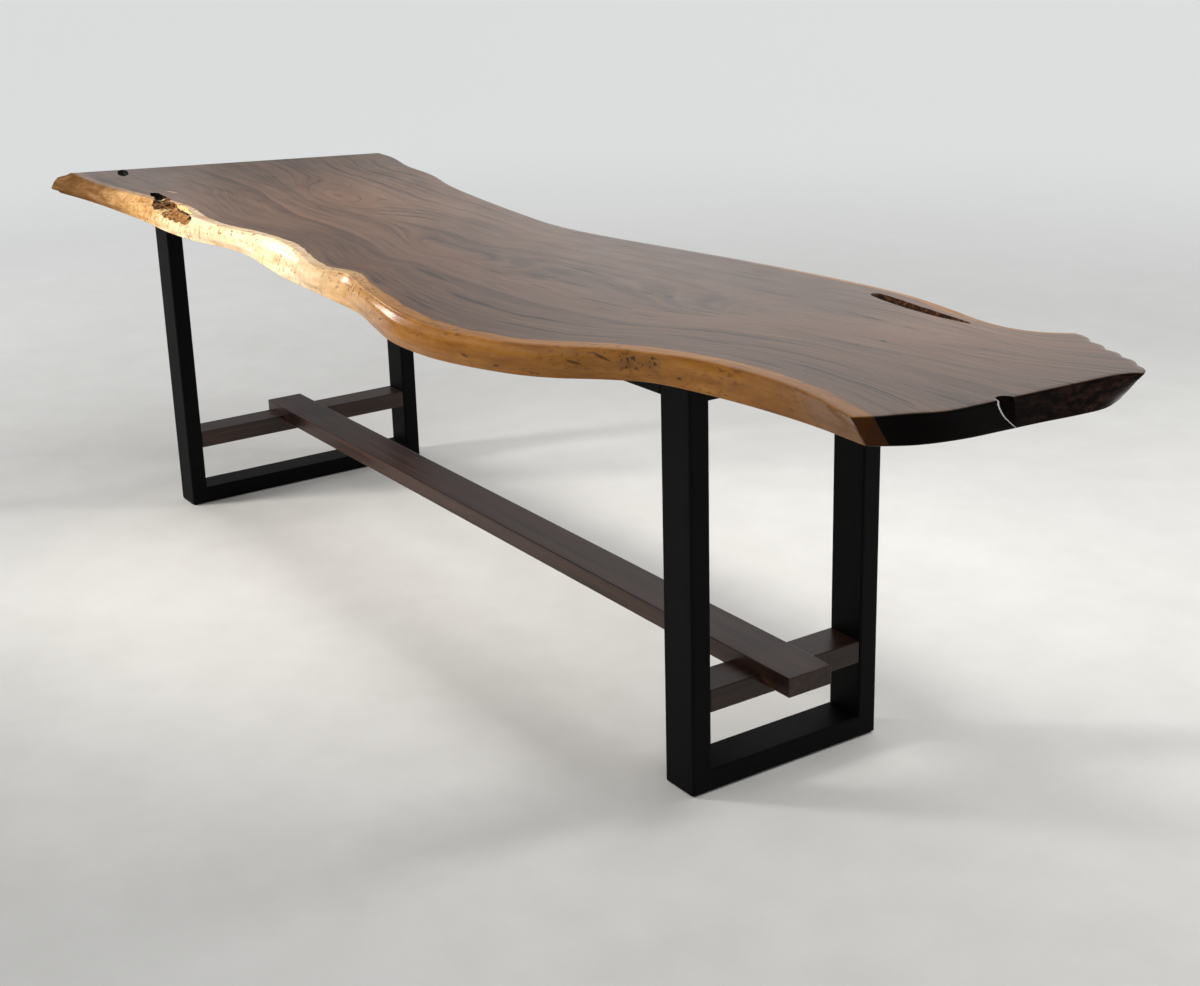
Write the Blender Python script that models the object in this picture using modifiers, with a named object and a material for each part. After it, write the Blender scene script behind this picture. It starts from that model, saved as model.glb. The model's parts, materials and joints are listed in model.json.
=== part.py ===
"""Live-edge bar table: a natural slab on two steel frames joined by timber stretchers. Metres, +Z up."""

import math

import bmesh
import bpy
from mathutils import Matrix, Vector

for thing in list(bpy.data.objects):
    bpy.data.objects.remove(thing, do_unlink=True)

# Overall heights
TABLE_HEIGHT = 1.020
SLAB_THICKNESS = 0.066

# Where the middle of the base stands, measured from the middle of the whole table
BASE_X = 0.0098
BASE_Y = 0.0335

# Slab edge: small ease at both faces, and how the hidden back edge swells and flares downwards
EDGE_EASE = 0.003
BACK_SWELL = 0.007
BACK_FLARE = 0.012
FAR_CORNER_SWELL = 0.052

# Steel tube of the frames
TUBE_DEPTH = 0.102
TUBE_WIDTH = 0.051
TUBE_WALL = 0.004
TUBE_CORNER = 0.005

# Frames: the near one is narrower than the far one
FRAME_SPACING = 2.502
NEAR_FRAME_WIDTH = 0.530
FAR_FRAME_WIDTH = 0.848

# Rails under the slab, in line with the legs of the narrow frame
RAIL_WIDTH = 0.051
RAIL_DEPTH = 0.051

# Timber stretchers
CROSS_DEPTH = 0.097
CROSS_HEIGHT = 0.0535
CROSS_TOP = 0.245
LONG_WIDTH = 0.120
LONG_THICKNESS = 0.046
LONG_OFFSET = -0.018
LONG_NEAR_OVERHANG = 0.097
LONG_FAR_OVERHANG = 0.028
DADO_DEPTH = 0.020
TIMBER_EASE = 0.002

# Glide pads
PAD_THICKNESS = 0.003
PAD_LENGTH = 0.090
PAD_WIDTH = 0.040
PAD_CORNER = 0.004

# Slab mounting plates, two to a frame, with a slot at each end
PLATE_THICKNESS = 0.005
PLATE_LENGTH = 0.230
PLATE_WIDTH = 0.070
PLATE_CORNER = 0.008
NEAR_PLATE_SPREAD = 0.220
FAR_PLATE_SPREAD = 0.640
SLOT_SPREAD = 0.176
SLOT_LENGTH = 0.022

# Slab bolts, washers and threaded inserts
BOLT_DIAMETER = 0.008
BOLT_HEAD_ACROSS = 0.013
BOLT_HEAD_HEIGHT = 0.0053
BOLT_REACH = 0.016
WASHER_DIAMETER = 0.021
WASHER_THICKNESS = 0.0016
INSERT_DIAMETER = 0.013
INSERT_LENGTH = 0.020
INSERT_HOLE_SPARE = 0.003

# Seat tabs under the cross stretchers, and their screws
TAB_THICKNESS = 0.004
TAB_LENGTH = 0.060
TAB_REACH = 0.045
TAB_SCREW_DIAMETER = 0.006
TAB_SCREW_HEAD = 0.011
TAB_SCREW_HEAD_HEIGHT = 0.004
TAB_SCREW_GRIP = 0.030

# Screws that hold the long stretcher down in its dados
LAP_SCREW_DIAMETER = 0.006
LAP_SCREW_HEAD = 0.012
LAP_SCREW_CONE = 0.004
LAP_SCREW_GRIP = 0.028
LAP_SCREW_SPREAD = 0.060

# Clearance between pieces that touch, and round a fastener
FIT = 0.0003
HOLE_FIT = 0.0004

# Natural void in the slab: along its length and bowed, blunt at its far end, with a smaller floor
VOID_START = (1.188, 0.333)
VOID_END = (1.533, 0.295)
VOID_WIDTH = 0.036
VOID_BOW = 0.008
VOID_DEPTH = 0.045
VOID_FLOOR_SHARE = 0.6

# Bark pocket in the front edge: it bites into the top arris and dips towards its near end
POCKET_CENTRE = (-1.015, -0.472)
POCKET_LENGTH = 0.370
POCKET_BITE = 0.092
POCKET_HEIGHT = 0.048
POCKET_DROP = 0.006
POCKET_TURN = -0.060
POCKET_DIP = 0.030

# Bark hole in the top face at the far end of the pocket
BARK_HOLE_AT = (-1.268, -0.420)
BARK_HOLE_LENGTH = 0.130
BARK_HOLE_WIDTH = 0.052
BARK_HOLE_DEPTH = 0.022

# Shallow hollow in the top face beside the far end
FAR_HOLLOW_AT = (-1.807, -0.338)
FAR_HOLLOW_LENGTH = 0.150
FAR_HOLLOW_WIDTH = 0.036
FAR_HOLLOW_DEPTH = 0.014
FAR_HOLLOW_TURN = -0.290

# Split in the near end: where it opens, how far in it reaches, its width at the top and the bottom
NEAR_SPLIT_AT = (1.947, -0.050)
NEAR_SPLIT_REACH = 0.020
NEAR_SPLIT_TOP = 0.040
NEAR_SPLIT_LOW = 0.008
NEAR_SPLIT_SLANT = 0.038

# Front live edge: distance along, how far across at the top face and at the bottom face, and its swell
FRONT_EDGE = [
    (-1.700, -0.487, -0.494, 0.018),
    (-1.450, -0.477, -0.487, 0.016),
    (-1.200, -0.456, -0.486, 0.014),
    (-1.000, -0.462, -0.497, 0.012),
    (-0.800, -0.475, -0.488, 0.010),
    (-0.650, -0.471, -0.460, 0.010),
    (-0.500, -0.450, -0.453, 0.010),
    (-0.330, -0.434, -0.474, 0.008),
    (-0.150, -0.455, -0.497, 0.008),
    (0.060, -0.505, -0.509, 0.010),
    (0.190, -0.481, -0.516, 0.006),
    (0.350, -0.518, -0.528, 0.008),
    (0.500, -0.549, -0.564, 0.010),
    (0.650, -0.574, -0.595, 0.012),
    (0.800, -0.579, -0.595, 0.012),
    (0.920, -0.558, -0.570, 0.010),
    (1.040, -0.518, -0.526, 0.010),
    (1.120, -0.463, -0.476, 0.008),
    (1.200, -0.393, -0.400, 0.006),
    (1.280, -0.352, -0.342, 0.004),
    (1.400, -0.306, -0.312, 0.003),
    (1.550, -0.288, -0.291, 0.002),
    (1.700, -0.297, -0.283, 0.000),
]

# Back live edge, from the near end to the far end: distance along, then how far across at the top face
BACK_EDGE = [
    (1.655, 0.349),
    (1.590, 0.330),
    (1.510, 0.334),
    (1.400, 0.358),
    (1.250, 0.381),
    (1.100, 0.380),
    (0.940, 0.369),
    (0.680, 0.335),
    (0.450, 0.297),
    (0.290, 0.270),
    (0.120, 0.250),
    (-0.040, 0.251),
    (-0.260, 0.277),
    (-0.540, 0.319),
    (-0.760, 0.360),
    (-1.000, 0.424),
    (-1.220, 0.455),
    (-1.430, 0.509),
]

# Corners of the slab: top face, then bottom face
FRONT_FAR_CORNER = ((-1.945, -0.475), (-1.964, -0.512))
FRONT_NEAR_CORNER = ((1.860, -0.335), (1.849, -0.289))
TIP_CORNER = ((1.989, 0.265), (1.936, 0.266))
BACK_NEAR_CORNER = ((1.713, 0.397), (1.700, 0.392))
BACK_FAR_CORNER = ((-1.569, 0.525), (-1.570, 0.537))

# Near end between its corners: top face, then bottom face
NEAR_END = [
    ((1.882, -0.300), (1.870, -0.264)),
    ((1.906, -0.243), (1.903, -0.210)),
    ((1.936, -0.178), (1.926, -0.128)),
    ((1.945, -0.075), (1.936, -0.030)),
    ((1.951, 0.020), (1.943, 0.050)),
    ((1.958, 0.129), (1.953, 0.130)),
    ((1.967, 0.225), (1.956, 0.205)),
]

# Broken corner: the cusps between its lobes, top face then bottom face, and how far a lobe stands out
BROKEN_CUSPS = [
    ((1.946, 0.300), (1.908, 0.288)),
    ((1.890, 0.325), (1.866, 0.310)),
    ((1.834, 0.344), (1.814, 0.330)),
    ((1.776, 0.368), (1.758, 0.352)),
]
LOBE_RISE = 0.008

# Heights that follow from the sizes above
SLAB_BOTTOM = TABLE_HEIGHT - SLAB_THICKNESS
PLATE_BOTTOM = SLAB_BOTTOM - FIT - PLATE_THICKNESS
FRAME_TOP = PLATE_BOTTOM - FIT
FRAME_BOTTOM = PAD_THICKNESS + FIT
FRAME_HEIGHT = FRAME_TOP - FRAME_BOTTOM
CROSS_BOTTOM = CROSS_TOP - CROSS_HEIGHT
LONG_BOTTOM = CROSS_TOP - DADO_DEPTH + FIT
FRAMES = {
    "near": (FRAME_SPACING / 2, NEAR_FRAME_WIDTH, NEAR_PLATE_SPREAD),
    "far": (-FRAME_SPACING / 2, FAR_FRAME_WIDTH, FAR_PLATE_SPREAD),
}
SIDES = {"front": -1, "back": 1}

scene = bpy.context.scene
table = bpy.data.collections.new("bar table")
cutters = bpy.data.collections.new("cutters")
scene.collection.children.link(table)
scene.collection.children.link(cutters)
cutters.hide_render = True

base_middle = bpy.data.objects.new("base middle", None)
base_middle.location = (BASE_X, BASE_Y, 0)
table.objects.link(base_middle)


def material(name, colour, roughness, metallic):
    made = bpy.data.materials.new(name)
    made.use_nodes = True
    shader = made.node_tree.nodes["Principled BSDF"]
    shader.inputs["Base Color"].default_value = (*colour, 1)
    shader.inputs["Roughness"].default_value = roughness
    shader.inputs["Metallic"].default_value = metallic
    return made


SLAB_WOOD = material("lacquered slab", (0.105, 0.058, 0.036), 0.24, 0)
STRETCHER_WOOD = material("dark stained timber", (0.036, 0.020, 0.013), 0.38, 0)
BLACK_STEEL = material("black painted steel", (0.013, 0.013, 0.014), 0.42, 0.15)
ZINC_STEEL = material("zinc plated steel", (0.56, 0.56, 0.54), 0.34, 1)
BRASS = material("brass", (0.62, 0.44, 0.17), 0.32, 1)
RUBBER = material("black rubber", (0.012, 0.012, 0.012), 0.85, 0)


def add(name, mesh, paint, place=(0, 0, 0), turn=(0, 0, 0)):
    """A piece of the table, placed from the middle of the base."""
    piece = bpy.data.objects.new(name, mesh)
    piece.location = place
    piece.rotation_euler = turn
    piece.parent = base_middle
    mesh.materials.clear()
    mesh.materials.append(paint)
    table.objects.link(piece)
    return piece


def combine(piece, operation, name, mesh, place, turn):
    """Cuts a helper shape out of a piece, or joins it on."""
    helper = bpy.data.objects.new(name, mesh)
    helper.location = place
    helper.rotation_euler = turn
    helper.parent = base_middle
    helper.hide_render = True
    helper.display_type = "WIRE"
    cutters.objects.link(helper)
    step = piece.modifiers.new(name, "BOOLEAN")
    step.operation = operation
    step.solver = "EXACT"
    step.object = helper


def cut(piece, name, mesh, place=(0, 0, 0), turn=(0, 0, 0)):
    combine(piece, "DIFFERENCE", name, mesh, place, turn)


def join(piece, name, mesh, place=(0, 0, 0), turn=(0, 0, 0)):
    combine(piece, "UNION", name, mesh, place, turn)


def ease(piece, width):
    """Rounds the long arrises of a piece."""
    bevel = piece.modifiers.new("eased arrises", "BEVEL")
    bevel.width = width
    bevel.segments = 2
    bevel.limit_method = "ANGLE"


def to_mesh(name, shaping):
    mesh = bpy.data.meshes.new(name)
    shaping.to_mesh(mesh)
    shaping.free()
    return mesh


def block(name, size):
    shaping = bmesh.new()
    bmesh.ops.create_cube(shaping, size=1)
    bmesh.ops.scale(shaping, vec=size, verts=shaping.verts)
    return to_mesh(name, shaping)


def rod(name, diameter, height, sides=24, end_diameter=None):
    """A round bar, or a cone where the upper end has its own diameter; it stands on its lower end."""
    shaping = bmesh.new()
    upper = diameter if end_diameter is None else end_diameter
    bmesh.ops.create_cone(
        shaping, cap_ends=True, segments=sides, radius1=diameter / 2, radius2=upper / 2, depth=height
    )
    bmesh.ops.translate(shaping, vec=(0, 0, height / 2), verts=shaping.verts)
    return to_mesh(name, shaping)


def turned(name, profile, sides=24):
    """A profile of radius and height, spun round the upright axis into a closed solid."""
    shaping = bmesh.new()
    points = [shaping.verts.new((radius, 0, height)) for radius, height in profile]
    ring = [shaping.edges.new((points[i - 1], points[i])) for i in range(len(points))]
    bmesh.ops.spin(
        shaping, geom=points + ring, axis=(0, 0, 1), cent=(0, 0, 0), angle=math.tau, steps=sides
    )
    bmesh.ops.remove_doubles(shaping, verts=shaping.verts, dist=0.00001)
    bmesh.ops.recalc_face_normals(shaping, faces=shaping.faces)
    return to_mesh(name, shaping)


def rounded_rectangle(width, height, corner, steps=3):
    outline = []
    for quarter in range(4):
        middle = quarter * math.pi / 2
        across = (width / 2 - corner) * (1 if quarter in (0, 3) else -1)
        up = (height / 2 - corner) * (1 if quarter in (0, 1) else -1)
        for step in range(steps + 1):
            angle = middle + step * math.pi / 2 / steps
            outline.append((across + corner * math.cos(angle), up + corner * math.sin(angle)))
    return outline


def slot_outline(length, width, steps=8):
    """A slot with round ends; its length lies along the second axis."""
    outline = []
    for end in (0, 1):
        middle = (length - width) / 2 * (1 if end == 0 else -1)
        for step in range(steps + 1):
            angle = end * math.pi + step * math.pi / steps
            outline.append((width / 2 * math.cos(angle), middle + width / 2 * math.sin(angle)))
    return outline


def extruded(name, outlines, height):
    """Flat outlines, inner ones being holes, pushed out to a height centred on their plane."""
    flat = bpy.data.curves.new(name, "CURVE")
    flat.dimensions = "2D"
    flat.fill_mode = "BOTH"
    flat.extrude = height / 2
    for outline in outlines:
        line = flat.splines.new("POLY")
        line.points.add(len(outline) - 1)
        for point, (x, y) in zip(line.points, outline):
            point.co = (x, y, 0, 1)
        line.use_cyclic_u = True
    holder = bpy.data.objects.new(name, flat)
    cutters.objects.link(holder)
    graph = bpy.context.evaluated_depsgraph_get()
    mesh = bpy.data.meshes.new_from_object(holder.evaluated_get(graph))
    bpy.data.objects.remove(holder, do_unlink=True)
    shaping = bmesh.new()
    shaping.from_mesh(mesh)
    bmesh.ops.remove_doubles(shaping, verts=shaping.verts, dist=0.00001)
    bmesh.ops.recalc_face_normals(shaping, faces=shaping.faces)
    return to_mesh(name, shaping)


def tube(name, width, height, length, mitred):
    """Rectangular hollow section along the third axis; a mitre keeps the side at -height full length."""
    outer = rounded_rectangle(width, height, TUBE_CORNER)
    inner = rounded_rectangle(width - 2 * TUBE_WALL, height - 2 * TUBE_WALL, TUBE_CORNER / 2)
    mesh = extruded(name, [outer, inner], length)
    if mitred:
        for point in mesh.vertices:
            shorter = point.co.y + height / 2 + FIT * math.sqrt(2) / 2
            point.co.z -= math.copysign(shorter, point.co.z)
    return mesh


def frame(end):
    """Two legs, a floor rail and a top rail, mitred into a closed rectangle."""
    middle, width, _ = FRAMES[end]
    height = (FRAME_TOP + FRAME_BOTTOM) / 2
    across = (width - TUBE_WIDTH) / 2
    for side, sign in SIDES.items():
        leg = tube(f"{end}_{side}_leg", TUBE_DEPTH, TUBE_WIDTH, FRAME_HEIGHT, True)
        turn = 0 if sign < 0 else math.pi
        add(f"{end}_{side}_leg", leg, BLACK_STEEL, (middle, sign * across, height), (0, 0, turn))
    rail = tube(f"{end}_floor_rail", TUBE_DEPTH, TUBE_WIDTH, width, True)
    place = (middle, 0, FRAME_BOTTOM + TUBE_WIDTH / 2)
    add(f"{end}_floor_rail", rail, BLACK_STEEL, place, (math.pi / 2, 0, 0))
    rail = tube(f"{end}_top_rail", TUBE_DEPTH, TUBE_WIDTH, width, True)
    place = (middle, 0, FRAME_TOP - TUBE_WIDTH / 2)
    add(f"{end}_top_rail", rail, BLACK_STEEL, place, (-math.pi / 2, 0, 0))


def glide_pads(end):
    middle, width, _ = FRAMES[end]
    outline = rounded_rectangle(PAD_LENGTH, PAD_WIDTH, PAD_CORNER)
    for side, sign in SIDES.items():
        pad = extruded(f"{end}_{side}_glide", [outline], PAD_THICKNESS)
        place = (middle, sign * (width - TUBE_WIDTH) / 2, PAD_THICKNESS / 2)
        add(f"{end}_{side}_glide", pad, RUBBER, place)


def under_rails():
    """Two tubes under the slab between the frames, in line with the legs of the narrow frame."""
    length = FRAME_SPACING - TUBE_DEPTH - 2 * FIT
    for side, sign in SIDES.items():
        rail = tube(f"{side}_under_rail", RAIL_WIDTH, RAIL_DEPTH, length, False)
        place = (0, sign * (NEAR_FRAME_WIDTH - RAIL_WIDTH) / 2, FRAME_TOP - RAIL_DEPTH / 2)
        add(f"{side}_under_rail", rail, BLACK_STEEL, place, (math.pi / 2, 0, math.pi / 2))


def lap_screw_places(end):
    middle = FRAMES[end][0]
    return [(middle, LONG_OFFSET + sign * LAP_SCREW_SPREAD / 2) for sign in (-1, 1)]


def tab_places(end):
    """Middle of each seat tab under a cross stretcher."""
    middle, width, _ = FRAMES[end]
    across = width / 2 - TUBE_WIDTH - FIT - TAB_REACH / 2
    return {side: (middle, sign * across) for side, sign in SIDES.items()}


def cross_stretcher(end):
    """Timber between two legs, with a dado on top for the long stretcher."""
    middle, width, _ = FRAMES[end]
    length = width - 2 * TUBE_WIDTH - 2 * FIT
    name = f"{end}_cross_stretcher"
    place = (middle, 0, (CROSS_TOP + CROSS_BOTTOM) / 2)
    piece = add(name, block(name, (CROSS_DEPTH, length, CROSS_HEIGHT)), STRETCHER_WOOD, place)
    ease(piece, TIMBER_EASE)
    dado = block(f"{name} dado", (CROSS_DEPTH * 2, LONG_WIDTH + 2 * FIT, DADO_DEPTH * 2))
    cut(piece, f"{name} dado", dado, (middle, LONG_OFFSET, CROSS_TOP))
    for count, (x, y) in enumerate(lap_screw_places(end), 1):
        hole = rod(f"{name} lap hole {count}", LAP_SCREW_DIAMETER + 2 * HOLE_FIT, CROSS_HEIGHT * 2)
        cut(piece, f"{name} lap hole {count}", hole, (x, y, CROSS_BOTTOM - CROSS_HEIGHT / 2))
        grown = LAP_SCREW_HEAD + 2 * HOLE_FIT
        sink = rod(
            f"{name} lap sink {count}", grown, LAP_SCREW_CONE + HOLE_FIT, 24,
            LAP_SCREW_DIAMETER + 2 * HOLE_FIT,
        )
        cut(piece, f"{name} lap sink {count}", sink, (x, y, CROSS_BOTTOM))
    for side, (x, y) in tab_places(end).items():
        hole = rod(f"{name} {side} pilot", TAB_SCREW_DIAMETER + 2 * HOLE_FIT, TAB_SCREW_GRIP * 2)
        cut(piece, f"{name} {side} pilot", hole, (x, y, CROSS_BOTTOM + HOLE_FIT - TAB_SCREW_GRIP))


def seat_tabs(end):
    """A small plate on each leg under the cross stretcher's end, with one screw up into the timber."""
    top = CROSS_BOTTOM - FIT
    for side, (x, y) in tab_places(end).items():
        bore = rod(f"{end}_{side} tab bore", TAB_SCREW_DIAMETER + 2 * HOLE_FIT, TAB_THICKNESS * 3)
        plate = block(f"{end}_{side}_seat_tab", (TAB_LENGTH, TAB_REACH, TAB_THICKNESS))
        tab = add(f"{end}_{side}_seat_tab", plate, BLACK_STEEL, (x, y, top - TAB_THICKNESS / 2))
        cut(tab, f"{end}_{side} tab bore", bore, (x, y, top - TAB_THICKNESS * 2))
        shank = TAB_SCREW_DIAMETER / 2
        head = TAB_SCREW_HEAD / 2
        reach = TAB_THICKNESS + TAB_SCREW_GRIP
        profile = [
            (0, 0), (head * 0.72, 0), (head, TAB_SCREW_HEAD_HEIGHT * 0.45), (head, TAB_SCREW_HEAD_HEIGHT),
            (shank, TAB_SCREW_HEAD_HEIGHT), (shank, TAB_SCREW_HEAD_HEIGHT + reach - shank),
            (0, TAB_SCREW_HEAD_HEIGHT + reach),
        ]
        screw = turned(f"{end}_{side}_tab_screw", profile, 16)
        place = (x, y, top - TAB_THICKNESS - FIT - TAB_SCREW_HEAD_HEIGHT)
        add(f"{end}_{side}_tab_screw", screw, ZINC_STEEL, place)


def long_stretcher():
    """Timber that lies in the dados of both cross stretchers and runs out past them."""
    near_end = FRAME_SPACING / 2 + TUBE_DEPTH / 2 + LONG_NEAR_OVERHANG
    far_end = -FRAME_SPACING / 2 - TUBE_DEPTH / 2 - LONG_FAR_OVERHANG
    mesh = block("long_stretcher", (near_end - far_end, LONG_WIDTH, LONG_THICKNESS))
    place = ((near_end + far_end) / 2, LONG_OFFSET, LONG_BOTTOM + LONG_THICKNESS / 2)
    piece = add("long_stretcher", mesh, STRETCHER_WOOD, place)
    ease(piece, TIMBER_EASE)
    for end in FRAMES:
        for count, (x, y) in enumerate(lap_screw_places(end), 1):
            hole = rod(f"{end} long hole {count}", LAP_SCREW_DIAMETER + 2 * HOLE_FIT, LAP_SCREW_GRIP * 2)
            cut(piece, f"{end} long hole {count}", hole, (x, y, LONG_BOTTOM + HOLE_FIT - LAP_SCREW_GRIP))


def lap_screws(end):
    """Countersunk screws from below, through the cross stretcher into the long one."""
    shank = LAP_SCREW_DIAMETER / 2
    tip = CROSS_HEIGHT - DADO_DEPTH + LAP_SCREW_GRIP
    profile = [
        (0, 0), (LAP_SCREW_HEAD / 2, 0), (shank, LAP_SCREW_CONE), (shank, tip - shank), (0, tip),
    ]
    for count, (x, y) in enumerate(lap_screw_places(end), 1):
        screw = turned(f"{end}_lap_screw_{count}", profile, 16)
        add(f"{end}_lap_screw_{count}", screw, ZINC_STEEL, (x, y, CROSS_BOTTOM))


def bolt_places(end):
    """Every slab bolt of a frame by name: the plate's side, and the inner or outer end of that plate."""
    middle, _, spread = FRAMES[end]
    inward = -1 if middle > 0 else 1
    places = {}
    for side, sign in SIDES.items():
        places[f"{end}_{side}_inner"] = (middle + inward * SLOT_SPREAD / 2, sign * spread / 2)
        places[f"{end}_{side}_outer"] = (middle - inward * SLOT_SPREAD / 2, sign * spread / 2)
    return places


def mounting_plates(end):
    """Flat plates across the top rail; the slots let the slab swell and shrink across its width."""
    middle, _, spread = FRAMES[end]
    slot = slot_outline(SLOT_LENGTH, BOLT_DIAMETER + 2 * HOLE_FIT)
    slots = [[(x + sign * SLOT_SPREAD / 2, y) for x, y in slot] for sign in (-1, 1)]
    outline = rounded_rectangle(PLATE_LENGTH, PLATE_WIDTH, PLATE_CORNER)
    for side, sign in SIDES.items():
        name = f"{end}_{side}_mounting_plate"
        place = (middle, sign * spread / 2, PLATE_BOTTOM + PLATE_THICKNESS / 2)
        add(name, extruded(name, [outline, *slots], PLATE_THICKNESS), BLACK_STEEL, place)


def slab_fasteners(end):
    """A hexagon bolt, its washer, and the threaded insert it holds in the slab."""
    washer_top = PLATE_BOTTOM - FIT
    head_top = washer_top - WASHER_THICKNESS - FIT
    shank_top = SLAB_BOTTOM + BOLT_REACH
    clear = BOLT_DIAMETER / 2 + HOLE_FIT
    rim = WASHER_DIAMETER / 2
    washer = [(clear, 0), (rim, 0), (rim, WASHER_THICKNESS), (clear, WASHER_THICKNESS)]
    outer = INSERT_DIAMETER / 2
    insert = [(clear, 0), (outer, 0), (outer, INSERT_LENGTH), (clear, INSERT_LENGTH)]
    for name, (x, y) in bolt_places(end).items():
        shaping = bmesh.new()
        corner = BOLT_HEAD_ACROSS / math.sqrt(3)
        bmesh.ops.create_cone(
            shaping, cap_ends=True, segments=6, radius1=corner, radius2=corner, depth=BOLT_HEAD_HEIGHT,
            matrix=Matrix.Translation((0, 0, head_top - BOLT_HEAD_HEIGHT / 2)),
        )
        bolt = add(f"{name}_bolt", to_mesh(f"{name}_bolt", shaping), ZINC_STEEL, (x, y, 0))
        reach = shank_top - head_top + BOLT_HEAD_HEIGHT / 2
        shank = rod(f"{name} shank", BOLT_DIAMETER, reach, 20)
        join(bolt, f"{name} shank", shank, (x, y, head_top - BOLT_HEAD_HEIGHT / 2))
        place = (x, y, washer_top - WASHER_THICKNESS)
        add(f"{name}_washer", turned(f"{name}_washer", washer), ZINC_STEEL, place)
        add(f"{name}_insert", turned(f"{name}_insert", insert), BRASS, (x, y, SLAB_BOTTOM + FIT))


def through(points, steps):
    """A smooth line through the points, without its last point."""
    line = []
    for i in range(len(points) - 1):
        before = points[max(i - 1, 0)]
        start = points[i]
        end = points[i + 1]
        after = points[min(i + 2, len(points) - 1)]
        for step in range(steps):
            t = step / steps
            line.append(
                0.5 * (2 * start + (end - before) * t + (2 * before - 5 * start + 4 * end - after) * t * t
                + (3 * start - before - 3 * end + after) * t * t * t)
            )
    return line


def slab_outlines():
    """Top and bottom outline of the slab, point for point, with the swell at each point."""
    front = [(*FRONT_FAR_CORNER, FAR_CORNER_SWELL)]
    front += [((x, top), (x, low), swell) for x, top, low, swell in FRONT_EDGE]
    front.append((*FRONT_NEAR_CORNER, 0))
    near = [(*row, 0) for row in (FRONT_NEAR_CORNER, *NEAR_END, TIP_CORNER)]
    back = [(*BACK_NEAR_CORNER, 0)]
    back += [((x, y), (x, y + BACK_FLARE), BACK_SWELL) for x, y in BACK_EDGE]
    back.append((*BACK_FAR_CORNER, 0))
    stretches = [(front, 4), (near, 3)]
    cusps = [TIP_CORNER, *BROKEN_CUSPS, BACK_NEAR_CORNER]
    for start, end in zip(cusps, cusps[1:]):
        middles = []
        for level in (0, 1):
            a = Vector(start[level])
            b = Vector(end[level])
            away = Vector((b.y - a.y, a.x - b.x)).normalized()
            middles.append((a + b) / 2 + away * LOBE_RISE)
        stretches.append(([(*start, 0), (*middles, 0), (*end, 0)], 3))
    stretches.append((back, 3))
    stretches.append(([(*BACK_FAR_CORNER, 0), (*FRONT_FAR_CORNER, 0)], 8))
    tops = []
    lows = []
    swells = []
    for rows, steps in stretches:
        tops += through([Vector(row[0]) for row in rows], steps)
        lows += through([Vector(row[1]) for row in rows], steps)
        swells += through([row[2] for row in rows], steps)
    return tops, lows, swells


def outward(line):
    """The outward direction at every point of a closed line that runs anticlockwise."""
    found = []
    for i in range(len(line)):
        along = line[(i + 1) % len(line)] - line[i - 1]
        found.append(Vector((along.y, -along.x)).normalized())
    return found


def slab_body():
    """A loft from the top outline to the bottom outline, swollen between them along the live edges."""
    tops, lows, swells = slab_outlines()
    levels = [
        (0, 0, -1, 0),
        (EDGE_EASE / SLAB_THICKNESS, 0, 0, 0.15),
        (0.30, 0.3, 0, 1),
        (0.65, 0.65, 0, 1),
        (1 - EDGE_EASE / SLAB_THICKNESS, 1, 0, 0.15),
        (1, 1, -1, 0),
    ]
    shaping = bmesh.new()
    rings = []
    for depth, blend, inset, share in levels:
        line = [top.lerp(low, blend) for top, low in zip(tops, lows)]
        ways = outward(line)
        z = TABLE_HEIGHT - depth * SLAB_THICKNESS
        ring = []
        for point, way, swell in zip(line, ways, swells):
            place = point + way * (inset * EDGE_EASE + share * swell)
            ring.append(shaping.verts.new((place.x, place.y, z)))
        rings.append(ring)
    shaping.faces.new(rings[0])
    shaping.faces.new(list(reversed(rings[-1])))
    for upper, lower in zip(rings, rings[1:]):
        for i in range(len(upper)):
            shaping.faces.new((upper[i - 1], lower[i - 1], lower[i], upper[i]))
    bmesh.ops.triangulate(shaping, faces=[face for face in shaping.faces if len(face.verts) == 4])
    bmesh.ops.recalc_face_normals(shaping, faces=shaping.faces)
    return to_mesh("slab_top", shaping)


def void_cutter():
    """A long bowed shape: blunt at its far end, drawn out to a point, narrower towards the bottom."""
    start = Vector(VOID_START)
    end = Vector(VOID_END)
    along = (end - start).normalized()
    side = Vector((-along.y, along.x))
    length = (end - start).length
    shaping = bmesh.new()
    rings = []
    for z, share in ((TABLE_HEIGHT + 0.01, 1.05), (TABLE_HEIGHT - VOID_DEPTH, VOID_FLOOR_SHARE)):
        line = []
        for step in range(24):
            angle = step * math.tau / 24
            reach = (1 - math.cos(angle)) / 2
            half = math.copysign(VOID_WIDTH * share * 0.82, math.sin(angle))
            half *= reach ** 0.25 * (1 - reach) ** 0.55
            over = half - VOID_BOW * 4 * reach * (1 - reach)
            line.append(start + along * ((reach - 0.3) * share + 0.3) * length + side * over)
        rings.append([shaping.verts.new((point.x, point.y, z)) for point in line])
    shaping.faces.new(rings[0])
    shaping.faces.new(list(reversed(rings[1])))
    for i in range(24):
        shaping.faces.new((rings[0][i - 1], rings[1][i - 1], rings[1][i], rings[0][i]))
    bmesh.ops.triangulate(shaping, faces=shaping.faces)
    bmesh.ops.recalc_face_normals(shaping, faces=shaping.faces)
    return to_mesh("void", shaping)


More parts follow.
